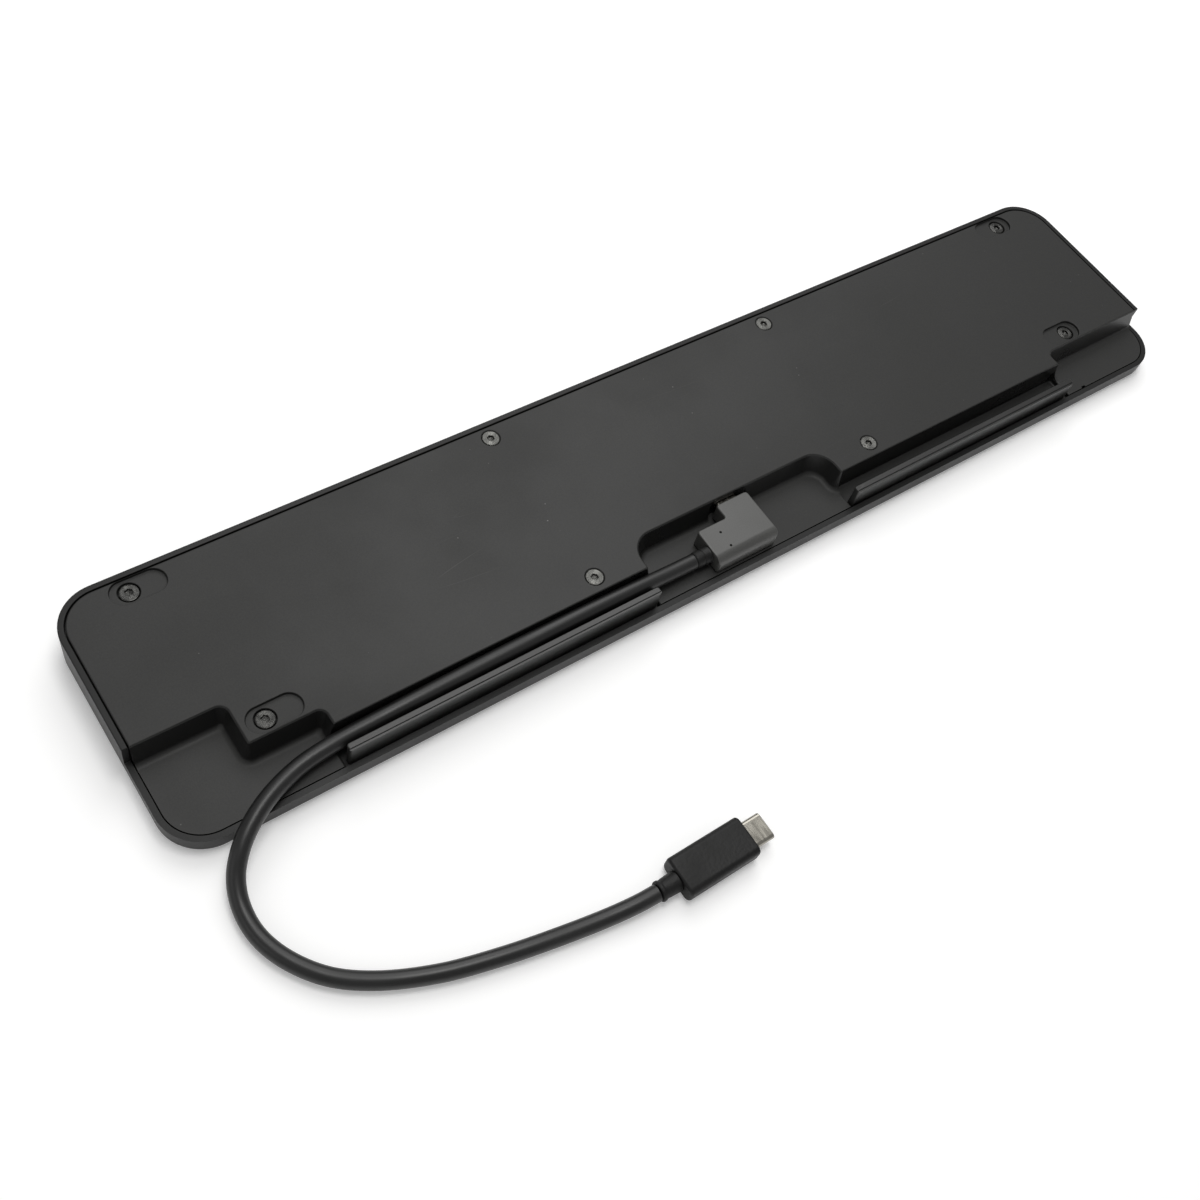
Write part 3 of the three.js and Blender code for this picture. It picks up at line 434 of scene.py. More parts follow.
metalLooks = {
    "blackSteel": {
        "dark": (0.0467, 0.0467, 0.045), "light": (0.0935, 0.0935, 0.0892), "worn": (0.323, 0.315, 0.297),
        "metallic": 0.85, "rough": (0.2, 0.32), "scale": 1500.0, "stretch": (1.0, 1.0, 1.0),
        "wearRadius": 0.0003, "wear": 0.6, "rings": 9.0, "bump": 0.8, "bumpDepth": 0.00003,
    },
    "greySteel": {
        "dark": (0.116, 0.116, 0.109), "light": (0.162, 0.162, 0.154), "worn": (0.239, 0.234, 0.223),
        "metallic": 0.95, "rough": (0.26, 0.40), "scale": 1500.0, "stretch": (1.0, 1.0, 1.0),
        "wearRadius": 0.0003, "wear": 0.6, "rings": 9.0, "bump": 0.8, "bumpDepth": 0.00003,
    },
    "nickelPlate": {
        "dark": (0.30, 0.285, 0.25), "light": (0.36, 0.345, 0.305), "worn": (0.288, 0.284, 0.27),
        "metallic": 1.0, "rough": (0.18, 0.32), "scale": 900.0, "stretch": (1.0, 0.15, 1.0),
        "wearRadius": 0.0003, "wear": 0.4, "bump": 0.05, "bumpDepth": 0.00002,
    },
    "goldContact": {
        "dark": (0.70, 0.47, 0.17), "light": (0.83, 0.60, 0.26), "worn": (0.9, 0.72, 0.4),
        "metallic": 1.0, "rough": (0.2, 0.34), "scale": 2200.0, "stretch": (1.0, 0.2, 1.0),
        "wearRadius": 0.0001, "wear": 0.2, "bump": 0.1, "bumpDepth": 0.00001,
    },
    "canAluminium": {
        "dark": (0.48, 0.49, 0.5), "light": (0.62, 0.63, 0.64), "worn": (0.75, 0.75, 0.75),
        "metallic": 1.0, "rough": (0.3, 0.46), "scale": 700.0, "stretch": (0.1, 1.0, 1.0),
        "wearRadius": 0.0003, "wear": 0.4, "bump": 0.15, "bumpDepth": 0.00002,
    },
}

boardLook = {
    "dark": (0.008, 0.045, 0.02), "light": (0.016, 0.075, 0.035), "copper": (0.03, 0.13, 0.06),
    "trackScale": 700.0,
}

materials = {name: makePlastic(name, look) for name, look in plasticLooks.items()}
materials.update({name: makeMetal(name, look) for name, look in metalLooks.items()})
materials["boardMask"] = makeBoard("boardMask", boardLook)
print("materials made:", len(materials))

# ---------------------------------------------------------------- mesh helpers, in millimetres


# Points round a closed outline, whose corners run anticlockwise as (x, y, radius).
# A positive grow moves every side outwards.
def outline(corners, grow=0.0, steps=8, least=0.04):
    points = []
    count = len(corners)
    for index, (x, y, radius) in enumerate(corners):
        here = Vector((x, y))
        arriving = (here - Vector(corners[index - 1][:2])).normalized()
        leaving = (Vector(corners[(index + 1) % count][:2]) - here).normalized()
        outFirst = Vector((arriving.y, -arriving.x))
        outSecond = Vector((leaving.y, -leaving.x))
        here = here + (outFirst + outSecond) * grow / (1 + outFirst.dot(outSecond))
        side = 1 if arriving.x * leaving.y - arriving.y * leaving.x > 0 else -1
        radius = max(radius + grow * side, min(radius, least))
        turn = arriving.angle(leaving)
        start = here - arriving * radius * math.tan(turn / 2)
        centre = start - outFirst * radius * side
        angle = math.atan2(start.y - centre.y, start.x - centre.x)
        for step in range(steps + 1):
            at = angle + side * turn * step / steps
            points.append(centre + Vector((math.cos(at), math.sin(at))) * radius)
    return points


def rectangle(x0, x1, y0, y1, radius):
    return [(x0, y0, radius), (x1, y0, radius), (x1, y1, radius), (x0, y1, radius)]


# A rectangle about the origin
def centredPlan(halfX, halfY, radius):
    return rectangle(-halfX, halfX, -halfY, halfY, radius)


# A plug's or a socket's outline, whose short sides are half circles
def capsule(halfX, halfY):
    return centredPlan(halfX, halfY, halfY - 0.03)


def circle(radius, sides):
    turns = [2 * math.pi * step / sides for step in range(sides)]
    return [Vector((math.cos(turn), math.sin(turn))) * radius for turn in turns]


# A quarter turn in steps: pairs of how far it has come across and up
def quarterTurn(steps):
    angles = [math.pi / 2 * step / steps for step in range(steps + 1)]
    return [(1 - math.cos(angle), math.sin(angle)) for angle in angles]


# A body's side from z0 to z1: pairs of (grow, z), with a rounded foot and a rounded crown
def roundedSide(z0, z1, foot, crown, steps=5):
    side = []
    if foot > 0:
        side += [(-foot * (1 - up), z0 + foot * across) for across, up in quarterTurn(steps)]
    else:
        side.append((0.0, z0))
    if crown > 0:
        side += [(-crown * across, z1 - crown + crown * up) for across, up in quarterTurn(steps)]
    else:
        side.append((0.0, z1))
    return side


# The top of a cutter's side: a mouth that flares outwards, and a straight stretch above it
def flaredMouth(z, flare, steps, above=1.0):
    side = [(flare * across, z - flare + flare * up) for across, up in quarterTurn(steps)[1:]]
    return side + [(flare, z + above)]


# A cutter's side: a filleted foot, a straight wall and a flared mouth
def flaredSide(z0, z1, fillet, flare, steps=6, above=1.0):
    return roundedSide(z0, z1 - flare, fillet, 0, steps) + flaredMouth(z1, flare, steps, above)


# The same for a wall that leans out towards its foot
def draftedSide(z0, z1, draft, fillet, flare, steps=6):
    slope = draft / (z1 - z0)
    start, bend = Vector((-draft - fillet, z0)), Vector((-draft, z0))
    end = bend + Vector((slope, 1.0)).normalized() * fillet
    side = []
    for step in range(steps + 1):
        t = step / steps
        point = start * (1 - t) ** 2 + bend * 2 * t * (1 - t) + end * t ** 2
        side.append((point.x, point.y))
    side.append((-slope * flare, z1 - flare))
    return side + flaredMouth(z1, flare, steps)


def meshPiece(name, points, faces):
    data = bpy.data.meshes.new(name)
    data.from_pydata([tuple(point) for point in points], [], faces)
    data.update()
    piece = bpy.data.objects.new(name, data)
    scene.collection.objects.link(piece)
    return piece


# A closed solid through rings of points that all have the same number of points
def loftRings(name, rings):
    count = len(rings[0])
    points = [point for ring in rings for point in ring]
    faces = []
    for level in range(len(rings) - 1):
        low, high = level * count, (level + 1) * count
        for index in range(count):
            after = (index + 1) % count
            faces.append((low + index, low + after, high + after, high + index))
    faces.append(tuple(reversed(range(count))))
    last = (len(rings) - 1) * count
    faces.append(tuple(last + index for index in range(count)))
    piece = meshPiece(name, points, faces)
    tidyMesh(piece)
    return piece


def tidyMesh(piece):
    mesh = bmesh.new()
    mesh.from_mesh(piece.data)
    bmesh.ops.remove_doubles(mesh, verts=mesh.verts, dist=1e-5)
    bmesh.ops.recalc_face_normals(mesh, faces=mesh.faces)
    mesh.to_mesh(piece.data)
    mesh.free()


def loftOutline(name, corners, side, steps=8, least=0.04):
    rings = []
    for grow, z in side:
        rings.append([Vector((point.x, point.y, z)) for point in outline(corners, grow, steps, least)])
    return loftRings(name, rings)


# A turned solid: pairs of (radius, z) from the bottom up
def turned(name, profile, sides=40):
    rings = [[Vector((p.x, p.y, z)) for p in circle(radius, sides)] for radius, z in profile]
    return loftRings(name, rings)


def moved(piece, offset=(0, 0, 0), turn=None):
    matrix = Matrix.Translation(Vector(offset))
    if turn is not None:
        matrix = matrix @ turn
    piece.data.transform(matrix)
    return piece


def combine(piece, tools, operation="DIFFERENCE"):
    for tool in tools:
        modifier = piece.modifiers.new("cut", "BOOLEAN")
        modifier.object = tool
        modifier.operation = operation
        modifier.solver = "EXACT"
    bpy.context.view_layer.update()
    ready = piece.evaluated_get(bpy.context.evaluated_depsgraph_get())
    data = bpy.data.meshes.new_from_object(ready)
    piece.modifiers.clear()
    piece.data = data
    for tool in tools:
        bpy.data.objects.remove(tool)
    return piece


def roundEdges(piece, wanted, width, segments=3):
    mesh = bmesh.new()
    mesh.from_mesh(piece.data)
    chosen = [edge for edge in mesh.edges if wanted(edge.verts[0].co, edge.verts[1].co)]
    if chosen:
        bmesh.ops.bevel(
            mesh, geom=chosen, offset=width, offset_type="OFFSET", segments=segments,
            profile=0.5, affect="EDGES", clamp_overlap=True,
        )
    mesh.to_mesh(piece.data)
    mesh.free()
    return piece


# Signed distance in plan to a rounded rectangle about the origin: negative inside
def distanceToPlan(point, halfX, halfY, radius):
    x = max(abs(point.x) - halfX + radius, 0.0)
    y = max(abs(point.y) - halfY + radius, 0.0)
    return math.hypot(x, y) - radius


# A test for the edges that run at height z along a rounded rectangle's own outline
def onRim(z, halfX, halfY, radius):
    def test(*ends):
        return all(
            abs(p.z - z) < 0.01 and abs(distanceToPlan(p, halfX, halfY, radius)) < 0.02
            for p in ends
        )
    return test


# Scales a finished piece to metres, shades it, and gives it its material and body
def settle(piece, material, body, replaced=(), sharp=32):
    piece.data.transform(Matrix.Scale(mm, 4))
    for face in piece.data.polygons:
        face.use_smooth = True
    piece.data.set_sharp_from_angle(angle=math.radians(sharp))
    weighted = piece.modifiers.new("evenShade", "WEIGHTED_NORMAL")
    weighted.keep_sharp = True
    piece.data.materials.clear()
    piece.data.materials.append(materials[material])
    if replaced:
        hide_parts(*replaced)
    if body:
        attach(piece, body)
    return piece


def boxOf(node):
    low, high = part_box(node)
    return low / mm, high / mm


alongY = Matrix.Rotation(math.radians(-90), 4, "X")  # a piece's own +Z turned to +Y
alongX = Matrix(((0, 0, 1, 0), (1, 0, 0, 0), (0, 1, 0, 0), (0, 0, 0, 1)))  # and to +X

# ---------------------------------------------------------------- cable

cableSettings = {
    "route": [  # metres
        (-0.0226, -0.0309, 0.0097), (-0.031, -0.0309, 0.0099), (-0.046, -0.0309, 0.0108),
        (-0.066, -0.0309, 0.0115), (-0.09, -0.0309, 0.0115), (-0.115, -0.0309, 0.0109),
        (-0.13, -0.0309, 0.0102), (-0.142, -0.0311, 0.0097), (-0.1535, -0.0325, 0.0095),
        (-0.1632, -0.0358, 0.0094), (-0.1706, -0.04, 0.009), (-0.1758, -0.0442, 0.0076),
        (-0.1798, -0.0492, 0.0049), (-0.1819, -0.0556, 0.003), (-0.182, -0.0638, 0.0025),
        (-0.1792, -0.0724, 0.0025), (-0.1726, -0.0818, 0.0025), (-0.1634, -0.0888, 0.0025),
        (-0.1493, -0.0954, 0.0025), (-0.134, -0.0999, 0.0025), (-0.118, -0.1034, 0.0025),
        (-0.104, -0.1059, 0.00265), (-0.0955, -0.107, 0.0031), (-0.0899, -0.1073, 0.0033),
    ],
    "diameter": 0.0049,
    "length": 0.288,
    "sides": 24,
    "stepsPerSpan": 8,
    "settlesBy": (-0.0385, -0.0309, 0.0104),
    "highest": 0.01154,
}


# A centripetal curve through the route's points
def smoothRoute(points, stepsPerSpan):
    knots = [Vector(point) for point in points]
    knots = [knots[0] * 2 - knots[1]] + knots + [knots[-1] * 2 - knots[-2]]
    smooth = []
    for index in range(1, len(knots) - 2):
        p0, p1, p2, p3 = knots[index - 1:index + 3]
        t0 = 0.0
        t1 = t0 + math.sqrt((p1 - p0).length)
        t2 = t1 + math.sqrt((p2 - p1).length)
        t3 = t2 + math.sqrt((p3 - p2).length)
        for step in range(stepsPerSpan):
            t = t1 + (t2 - t1) * step / stepsPerSpan
            a1 = p0 * ((t1 - t) / (t1 - t0)) + p1 * ((t - t0) / (t1 - t0))
            a2 = p1 * ((t2 - t) / (t2 - t1)) + p2 * ((t - t1) / (t2 - t1))
            a3 = p2 * ((t3 - t) / (t3 - t2)) + p3 * ((t - t2) / (t3 - t2))
            b1 = a1 * ((t2 - t) / (t2 - t0)) + a2 * ((t - t0) / (t2 - t0))
            b2 = a2 * ((t3 - t) / (t3 - t1)) + a3 * ((t - t1) / (t3 - t1))
            smooth.append(b1 * ((t2 - t) / (t2 - t1)) + b2 * ((t - t1) / (t2 - t1)))
    smooth.append(knots[-2])
    return smooth


def makeCable(settings):
    path = smoothRoute(settings["route"], settings["stepsPerSpan"])
    path = [Vector((p.x, p.y, min(p.z, settings["highest"]))) for p in path]
    radius = settings["diameter"] / 2
    side = Vector((0, 0, 1)).cross(path[1] - path[0]).normalized()
    rings = []
    for index, point in enumerate(path):
        ahead = (path[min(index + 1, len(path) - 1)] - path[max(index - 1, 0)]).normalized()
        side = (side - ahead * side.dot(ahead)).normalized()
        other = ahead.cross(side)
        ring = [side * c.x + other * c.y for c in circle(radius, settings["sides"])]
        rings.append([(point + offset) / mm for offset in ring])
    cable = loftRings("cable_jacket", rings)
    settle(cable, "cableJacket", None, ("cable",), 60)
    length = sum((b - a).length for a, b in zip(path, path[1:]))
    print("cable length", round(length, 4))
    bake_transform(cable)
    return cable, path


cable, cablePath = makeCable(cableSettings)

# ---------------------------------------------------------------- base cover

coverSettings = {
    "cornerRadius": 10.95,
    "topRound": 0.45,
    "draft": 2.1,
    "baseFillet": 1.5,
    "edgeRound": 0.6,
    "noseHalf": 7.4,
    "lipZ": 6.4,
    "slabZ": 4.8,
    "skin": 1.6,
    "leftStep": (-162.3, -9.0),
    "endStep": (141.0, -22.3),
    "channelWallY": -28.0,
    "pocketWallY": -17.6,
    "pocketHalf": 38.4,
    "pocketRadius": 7.5,
    "notchRadius": 3.0,
    "channelZ": 4.4,
    "channelEndX": 142.4,
    "portZ": 9.7,
    "pryNotchX": (149.4, 151.2),
    "pryNotchDepth": 0.6,
    "trenchRadius": 0.9,
    "trenchFillet": 0.6,
    "bossRadius": 4.1,
    "bossZ": 9.8,
    "socketHalf": (4.525, 1.6),
    "well": [(1.7, 9.0), (1.7, 11.3), (3.05, 11.3), (3.05, 12.8), (3.2, 13.02), (3.2, 13.4)],
    "sink": [(1.7, 9.0), (1.7, 12.4), (2.95, 13.85), (3.1, 14.0), (3.1, 15.0)],
}

footScrews = [(-168.7, 32.8, 1), (-155.3, -17.8, 1), (168.7, 32.8, -1), (155.3, -17.8, -1)]
flushScrews = [(-54.3, 32.9), (-54.3, -23.1), (54.3, 32.9), (54.3, -23.1)]
screwNames = ["back_left", "front_left", "back_right", "front_right"]
recessSettings = {"length": 15.8, "width": 7.8, "inset": 5.2, "floorZ": 13.0, "fillet": 0.3, "flare": 0.25}


# The front edge of the raised plate as an anticlockwise outline of the space before it
def frontSpace(cover):
    sharp, notch = 0.5, cover["notchRadius"]
    endX, endY = cover["endStep"]
    leftX, leftY = cover["leftStep"]
    pocket, pocketY = cover["pocketHalf"], cover["pocketWallY"]
    wallY = cover["channelWallY"]
    return [
        (-far, -far, 1), (far, -far, 1), (far, endY, 1),
        (endX, endY, notch - 0.5), (endX, wallY, sharp),
        (pocket, wallY, sharp), (pocket, pocketY, cover["pocketRadius"]),
        (-pocket, pocketY, cover["pocketRadius"]), (-pocket, wallY, sharp),
        (-endX, wallY, sharp), (-endX, endY, notch - 0.5),
        (leftX, endY, sharp), (leftX, leftY, notch), (-far, leftY, 1),
    ]


# The space behind the same edge, set back by the wall's thickness
def spaceBehind(cover, inset):
    front = frontSpace(cover)[3:13]
    ways = (-1, -1, 1, 1, -1, -1, 1, 1, 1, 1)
    corners = [(far, cover["endStep"][1] + inset, 0.5), (far, far, 1), (-far, far, 1)]
    corners.append((-far, cover["leftStep"][1] + inset, 0.5))
    shifted = [(x + way * inset, y + inset, max(radius, 0.3)) for way, (x, y, radius) in zip(ways, front)]
    return corners + shifted[::-1]


def footOutline(x, y, inward):
    outer = x - inward * recessSettings["inset"]
    inner = outer + inward * recessSettings["length"]
    half = recessSettings["width"] / 2
    return rectangle(min(outer, inner), max(outer, inner), y - half, y + half, half - 0.02)


def makeCover(cover):
    low, high = boxOf("base_cover")
    plan = rectangle(low.x, high.x, low.y, high.y, cover["cornerRadius"])
    top = high.z
    piece = loftOutline("base_cover_body", plan, roundedSide(cover["slabZ"], top, 0, cover["topRound"]), 14)
    hollowTop = top - cover["skin"]
    hollow = loftOutline("hollow", spaceBehind(cover, cover["skin"]), [(0, 3.0), (0, hollowTop)], 6)
    front = loftOutline(
        "front", frontSpace(cover),
        draftedSide(cover["lipZ"], top, cover["draft"], cover["baseFillet"], cover["topRound"], 7), 9, 1.4,
    )
    combine(piece, [hollow, front])
    trays, cuts = [], []
    skin, rounding, lipZ, wallY = cover["skin"], cover["edgeRound"], cover["lipZ"], cover["channelWallY"]
    frontY, fillet, corner = low.y - 3, cover["trenchFillet"], cover["trenchRadius"]
    for way in (-1, 1):
        start, end = sorted((way * cover["pocketHalf"], way * cover["channelEndX"]))
        tray = rectangle(start - skin, end + skin, low.y, wallY + skin, 0.3)
        trays.append(loftOutline("tray", tray, [(0, low.z), (0, cover["slabZ"] + 0.6)], 3))
        trench = rectangle(start, end, frontY, wallY + 0.02, corner)
        side = flaredSide(cover["channelZ"], top, fillet, cover["topRound"], 5)
        cuts.append(loftOutline("trench", trench, side, 5))
        trench = rectangle(start, end, frontY, wallY - rounding - 0.1, corner)
        side = flaredSide(cover["channelZ"], lipZ, fillet, rounding, 5, 0.02)
        cuts.append(loftOutline("edge", trench, side, 5))
    combine(piece, trays, "UNION")
    bossSide = [(cover["bossRadius"], cover["bossZ"]), (cover["bossRadius"], hollowTop + 0.3)]
    screwPlaces = [(x, y) for x, y, inward in footScrews] + flushScrews
    combine(piece, [moved(turned("boss", bossSide, 32), (x, y, 0)) for x, y in screwPlaces], "UNION")
    nose = rectangle(-cover["noseHalf"], cover["noseHalf"], -25, cover["pocketWallY"] - 0.02, 1.5)
    noseSide = flaredSide(lipZ - 0.15, top, 0.1, cover["topRound"], 4)
    cuts.append(loftOutline("nose", nose, noseSide, 6))
    recess = recessSettings
    recessSide = flaredSide(recess["floorZ"], top, recess["fillet"], recess["flare"], 5)
    for x, y, inward in footScrews:
        cuts.append(loftOutline("recess", footOutline(x, y, inward), recessSide, 12))
        cuts.append(moved(turned("well", cover["well"]), (x, y, 0)))
    for x, y in flushScrews:
        cuts.append(moved(turned("sink", cover["sink"]), (x, y, 0)))
    combine(piece, cuts)
    halfX, halfZ = cover["socketHalf"]
    slotSide = [(0.35, -2), (0.35, 0), (0.1, 0.12), (0, 0.4), (0, 3)]
    slotCut = loftOutline("portHole", centredPlan(halfX, halfZ, halfZ - 0.02), slotSide, 8)
    moved(slotCut, (0, cover["pocketWallY"], cover["portZ"]), alongY)
    notch = rectangle(*cover["pryNotchX"], low.y - 1, low.y + cover["pryNotchDepth"], 0.25)
    notchCut = loftOutline("notch", notch, [(0, 0), (0, top + 1)], 3)
    combine(piece, [slotCut, notchCut])
    roundEdges(piece, onRim(lipZ, high.x, high.y, cover["cornerRadius"]), 0.3)
    return settle(piece, "coverPlastic", "dock", ("base_cover",))


makeCover(coverSettings)
print("base cover made")

# ---------------------------------------------------------------- top shell

shellSettings = {
    "cornerRadius": 13.0,
    "edgeRound": 2.0,
    "crown": 0.35,
    "rim": 1.7,
    "innerRound": 0.2,
    "seatGap": 1.9,
    "ledge": 1.6,
    "ledgeZ": 12.1,
    "lipLedgeZ": 4.5,
    "floorZ": 1.6,
    "portClearance": 0.4,
}

portSettings = {
    "power_port": {"kind": "usbC"},
    "video_port_1": {"kind": "video"},
    "video_port_2": {"kind": "video"},
    "network_port": {"kind": "network"},
    "usb_port_1": {"kind": "usbA"},
    "usb_port_2": {"kind": "usbA"},
    "usb_port_3": {"kind": "usbA"},
    "data_port": {"kind": "usbC"},
    "audio_port": {"kind": "audio"},
}


def makeTopShell(shell, cover):
    low, high = boxOf("top_shell")
    radius = shell["cornerRadius"]
    plan = rectangle(low.x, high.x, low.y, high.y, radius)
    side = roundedSide(low.z, high.z, shell["edgeRound"], shell["crown"], 7)
    rim, inner = shell["rim"], -shell["rim"]
    innerRound = shell["innerRound"]
    side += [(inner + innerRound * (1 - up), high.z - innerRound * across) for across, up in quarterTurn(4)]
    side += [(inner, shell["ledgeZ"]), (inner - shell["ledge"], shell["ledgeZ"])]
    side.append((inner - shell["ledge"], shell["floorZ"]))
    piece = loftOutline("top_shell_body", plan, side, 16)
    endY, leftY = cover["endStep"][1], cover["leftStep"][1]
    lipSpace = [
        (-far, -far, 1), (far, -far, 1), (far, endY, 1), (0, endY, 0.3), (0, leftY, 0.3), (-far, leftY, 1),
    ]
    cuts = [loftOutline("lipSpace", lipSpace, flaredSide(cover["lipZ"], high.z, 0.2, 0.3, 4), 4)]
    gap, corner = shell["seatGap"], radius - rim
    seatPlan = [
        (low.x + rim, low.y + rim, corner), (high.x - rim, low.y + rim, corner),
        (high.x - rim, endY + gap, 0.1), (0, endY + gap, 0.1),
        (0, leftY + gap, 0.1), (low.x + rim, leftY + gap, 0.1),
    ]
    cuts.append(loftOutline("seat", seatPlan, [(0, shell["lipLedgeZ"]), (0, high.z + 1)], 16))
    for way in (-1, 1):
        start, end = sorted((way * (cover["pocketHalf"] - gap), way * (cover["channelEndX"] + gap)))
        under = rectangle(start, end, low.y + rim, cover["channelWallY"], 0.2)
        cuts.append(loftOutline("under", under, [(0, 2.5), (0, cover["lipZ"] - 0.5)], 3))
    combine(piece, cuts)
    holes = []
    for name in portSettings:
        portLow, portHigh = boxOf(name)
        clear = shell["portClearance"]
        middle, half = (portLow + portHigh) / 2, (portHigh - portLow) / 2
        corner = 1.0 if portSettings[name]["kind"] in ("network", "usbA", "video") else half.z
        halfX, halfZ = half.x + clear, half.z + clear
        plan = centredPlan(halfX, halfZ, min(corner + clear, halfZ - 0.05))
        hole = loftOutline("portHole", plan, flaredSide(-5, 0, 0, 0.35, 5), 7)
        holes.append(moved(hole, (middle.x, high.y, middle.z), alongY))
    combine(piece, holes)
    for inset, width in ((0.0, 0.4), (rim, innerRound)):
        roundEdges(piece, onRim(cover["lipZ"], high.x - inset, high.y - inset, radius - inset), width)
    return settle(piece, "shellPlastic", "dock", ("top_shell",))


makeTopShell(shellSettings, coverSettings)
print("top shell made")

# ---------------------------------------------------------------- cable rails

railSettings = {
    "endRound": 0.8, "crown": 0.35, "grooveAt": 0.55, "groove": 0.22, "grooveDepth": 0.45, "frontDrop": 0.3,
}


def makeRail(name, rail):
    low, high = boxOf(name)
    footZ = coverSettings["channelZ"] + 0.3
    plan = rectangle(low.x, high.x, low.y, high.y, rail["endRound"])
    piece = loftOutline(name + "_bar", plan, roundedSide(footZ, high.z, 0.15, rail["crown"], 5), 8)
    grooveY = low.y + rail["grooveAt"]
    groovePlan = rectangle(low.x - 2, high.x + 2, grooveY, grooveY + rail["groove"], 0.02)
    groove = loftOutline("groove", groovePlan, [(0, high.z - rail["grooveDepth"]), (0, high.z + 1)], 2)
    dropPlan = rectangle(low.x - 2, high.x + 2, low.y - 2, grooveY, 0.02)
    drop = loftOutline("drop", dropPlan, [(0, high.z - rail["frontDrop"]), (0, high.z + 1)], 2)
    combine(piece, [groove, drop])
    frontZ = high.z - rail["frontDrop"]
    roundEdges(piece, lambda *ends: all(abs(p.z - frontZ) < 0.01 and p.y < low.y + 0.3 for p in ends), 0.22)
    return settle(piece, "railPlastic", "dock", (name,))


for railName in ("cable_rail_left", "cable_rail_right"):
    makeRail(railName, railSettings)
print("rails made")

# ---------------------------------------------------------------- screws

footScrewSettings = {
    "profile": [(0.85, -7.4), (1.3, -6.9), (1.3, -1.42), (2.6, -1.4), (2.75, -1.25), (2.75, -0.5),
                (2.68, -0.25), (2.5, -0.1), (2.2, -0.03), (1.9, 0.0)],
    "socket": 1.2, "socketDepth": 0.85,
}
flushScrewSettings = {
    "profile": [(0.85, -8.3), (1.3, -7.8), (1.3, -1.5), (2.5, -0.3), (2.62, -0.18),
                (2.62, -0.08), (2.5, 0.0)],
    "socket": 1.15, "socketDepth": 0.9,
}


def makeScrew(name, settings, material):
    low, high = boxOf(name)
    place = ((low.x + high.x) / 2, (low.y + high.y) / 2, high.z)
    piece = turned(name + "_turned", settings["profile"])
    radius, deep = settings["socket"], settings["socketDepth"]
    wide = radius + 0.14
    rings = [(radius * 0.35, -deep - 0.3), (radius, -deep), (radius, -0.12), (wide, 0.02), (wide, 0.5)]
    socket = turned("socket", rings, 6)
    combine(piece, [moved(socket, turn=Matrix.Rotation(0.4, 4, "Z"))])
    moved(piece, place)
    return settle(piece, material, "dock", (name,))


for corner in screwNames:
    makeScrew("foot_screw_" + corner, footScrewSettings, "blackSteel")
    makeScrew("flush_screw_" + corner, flushScrewSettings, "greySteel")
print("screws made")

# ---------------------------------------------------------------- plugs

plugSettings = {
    "shellWall": 0.28,
    "root": 2.5,
    "reach": 6.65,
    "lipRound": 0.14,
    "edge": 0.5,
    "frontRoll": 3.2,
    "dotX": -10.4,
    "dotOffset": 2.65,
    "dotRadius": 0.4,
    "armHalf": 5.7,
    "armLength": 5.1,
    "socketHalf": (4.4, 1.5),
    "socketDepth": 2.8,
    "insertHalf": (3.33, 0.7),
    "insertRound": 0.2,
    "contacts": 12,
    "contactPitch": 0.5,
    "contactHalf": 0.13,
    "contactZ": (0.62, 0.78),
    "contactReach": (0.1, 4.2),
}


# A thin metal tube round an outline: open at its mouth and closed at its back, drawn along +Z
def openTube(name, corners, wall, back, mouth, lipRound, steps=8):
    side = [(-0.1, back), (0, back + 0.1)]
    side += [(-lipRound * across, mouth - lipRound * (1 - up)) for across, up in quarterTurn(4)]
    side += [(-wall + 0.02, mouth - 0.02), (-wall, mouth - 0.12), (-wall, back + wall)]
    return loftOutline(name, corners, side, steps)


def plugOutline(node, axis):
    low, high = boxOf(node)
    half = (high - low) / 2
    return capsule(half.x if axis == "Y" else half.y, half.z)


def makePlugShell(node, face, turn, axis, body, plug):
    piece = openTube(
        node + "_tube", plugOutline(node, axis), plug["shellWall"],
        -plug["root"], plug["reach"], plug["lipRound"], 10,
    )
    moved(piece, face, turn)
    return settle(piece, "nickelPlate", body, (node,))


# The black insert in a plug's root, and its two rows of contact springs
def makePlugCarrier(node, face, turn, body, plug):
    insert = loftOutline(
        node + "_insert", centredPlan(*plug["insertHalf"], plug["insertRound"]),
        roundedSide(-plug["root"] + 0.7, 0.2, 0.05, 0.1, 3), 4,
    )
    moved(insert, face, turn)
    settle(insert, "insulator", body, (node,))
    strips = []
    for row in (-1, 1):
        for index in range(plug["contacts"]):
            x = (index - (plug["contacts"] - 1) / 2) * plug["contactPitch"]
            z0, z1 = sorted(row * z for z in plug["contactZ"])
            strips.append((x - plug["contactHalf"], x + plug["contactHalf"], z0, z1))
    contacts = stripPiece(node + "_contacts", strips, *plug["contactReach"])
    moved(contacts, face, turn)
    return settle(contacts, "goldContact", body)


# Many small rounded bars in one mesh, each as (x0, x1, y0, y1) from z0 to z1
def stripPiece(name, strips, z0, z1):
    points, faces = [], []
    for x0, x1, y0, y1 in strips:
        base = len(points)
        inset = min(x1 - x0, y1 - y0) * 0.25
        for z, trim in ((z0, inset), (z0 + inset, 0), (z1 - inset, 0), (z1, inset)):
            left, right, front, back = x0 + trim, x1 - trim, y0 + trim, y1 - trim
            points += [(left, front, z), (right, front, z), (right, back, z), (left, back, z)]
        for level in range(3):
            low, high = base + level * 4, base + (level + 1) * 4
            for index in range(4):
                after = (index + 1) % 4
                faces.append((low + index, low + after, high + after, high + index))
        faces.append((base + 3, base + 2, base + 1, base))
        faces.append((base + 12, base + 13, base + 14, base + 15))
    return meshPiece(name, points, faces)


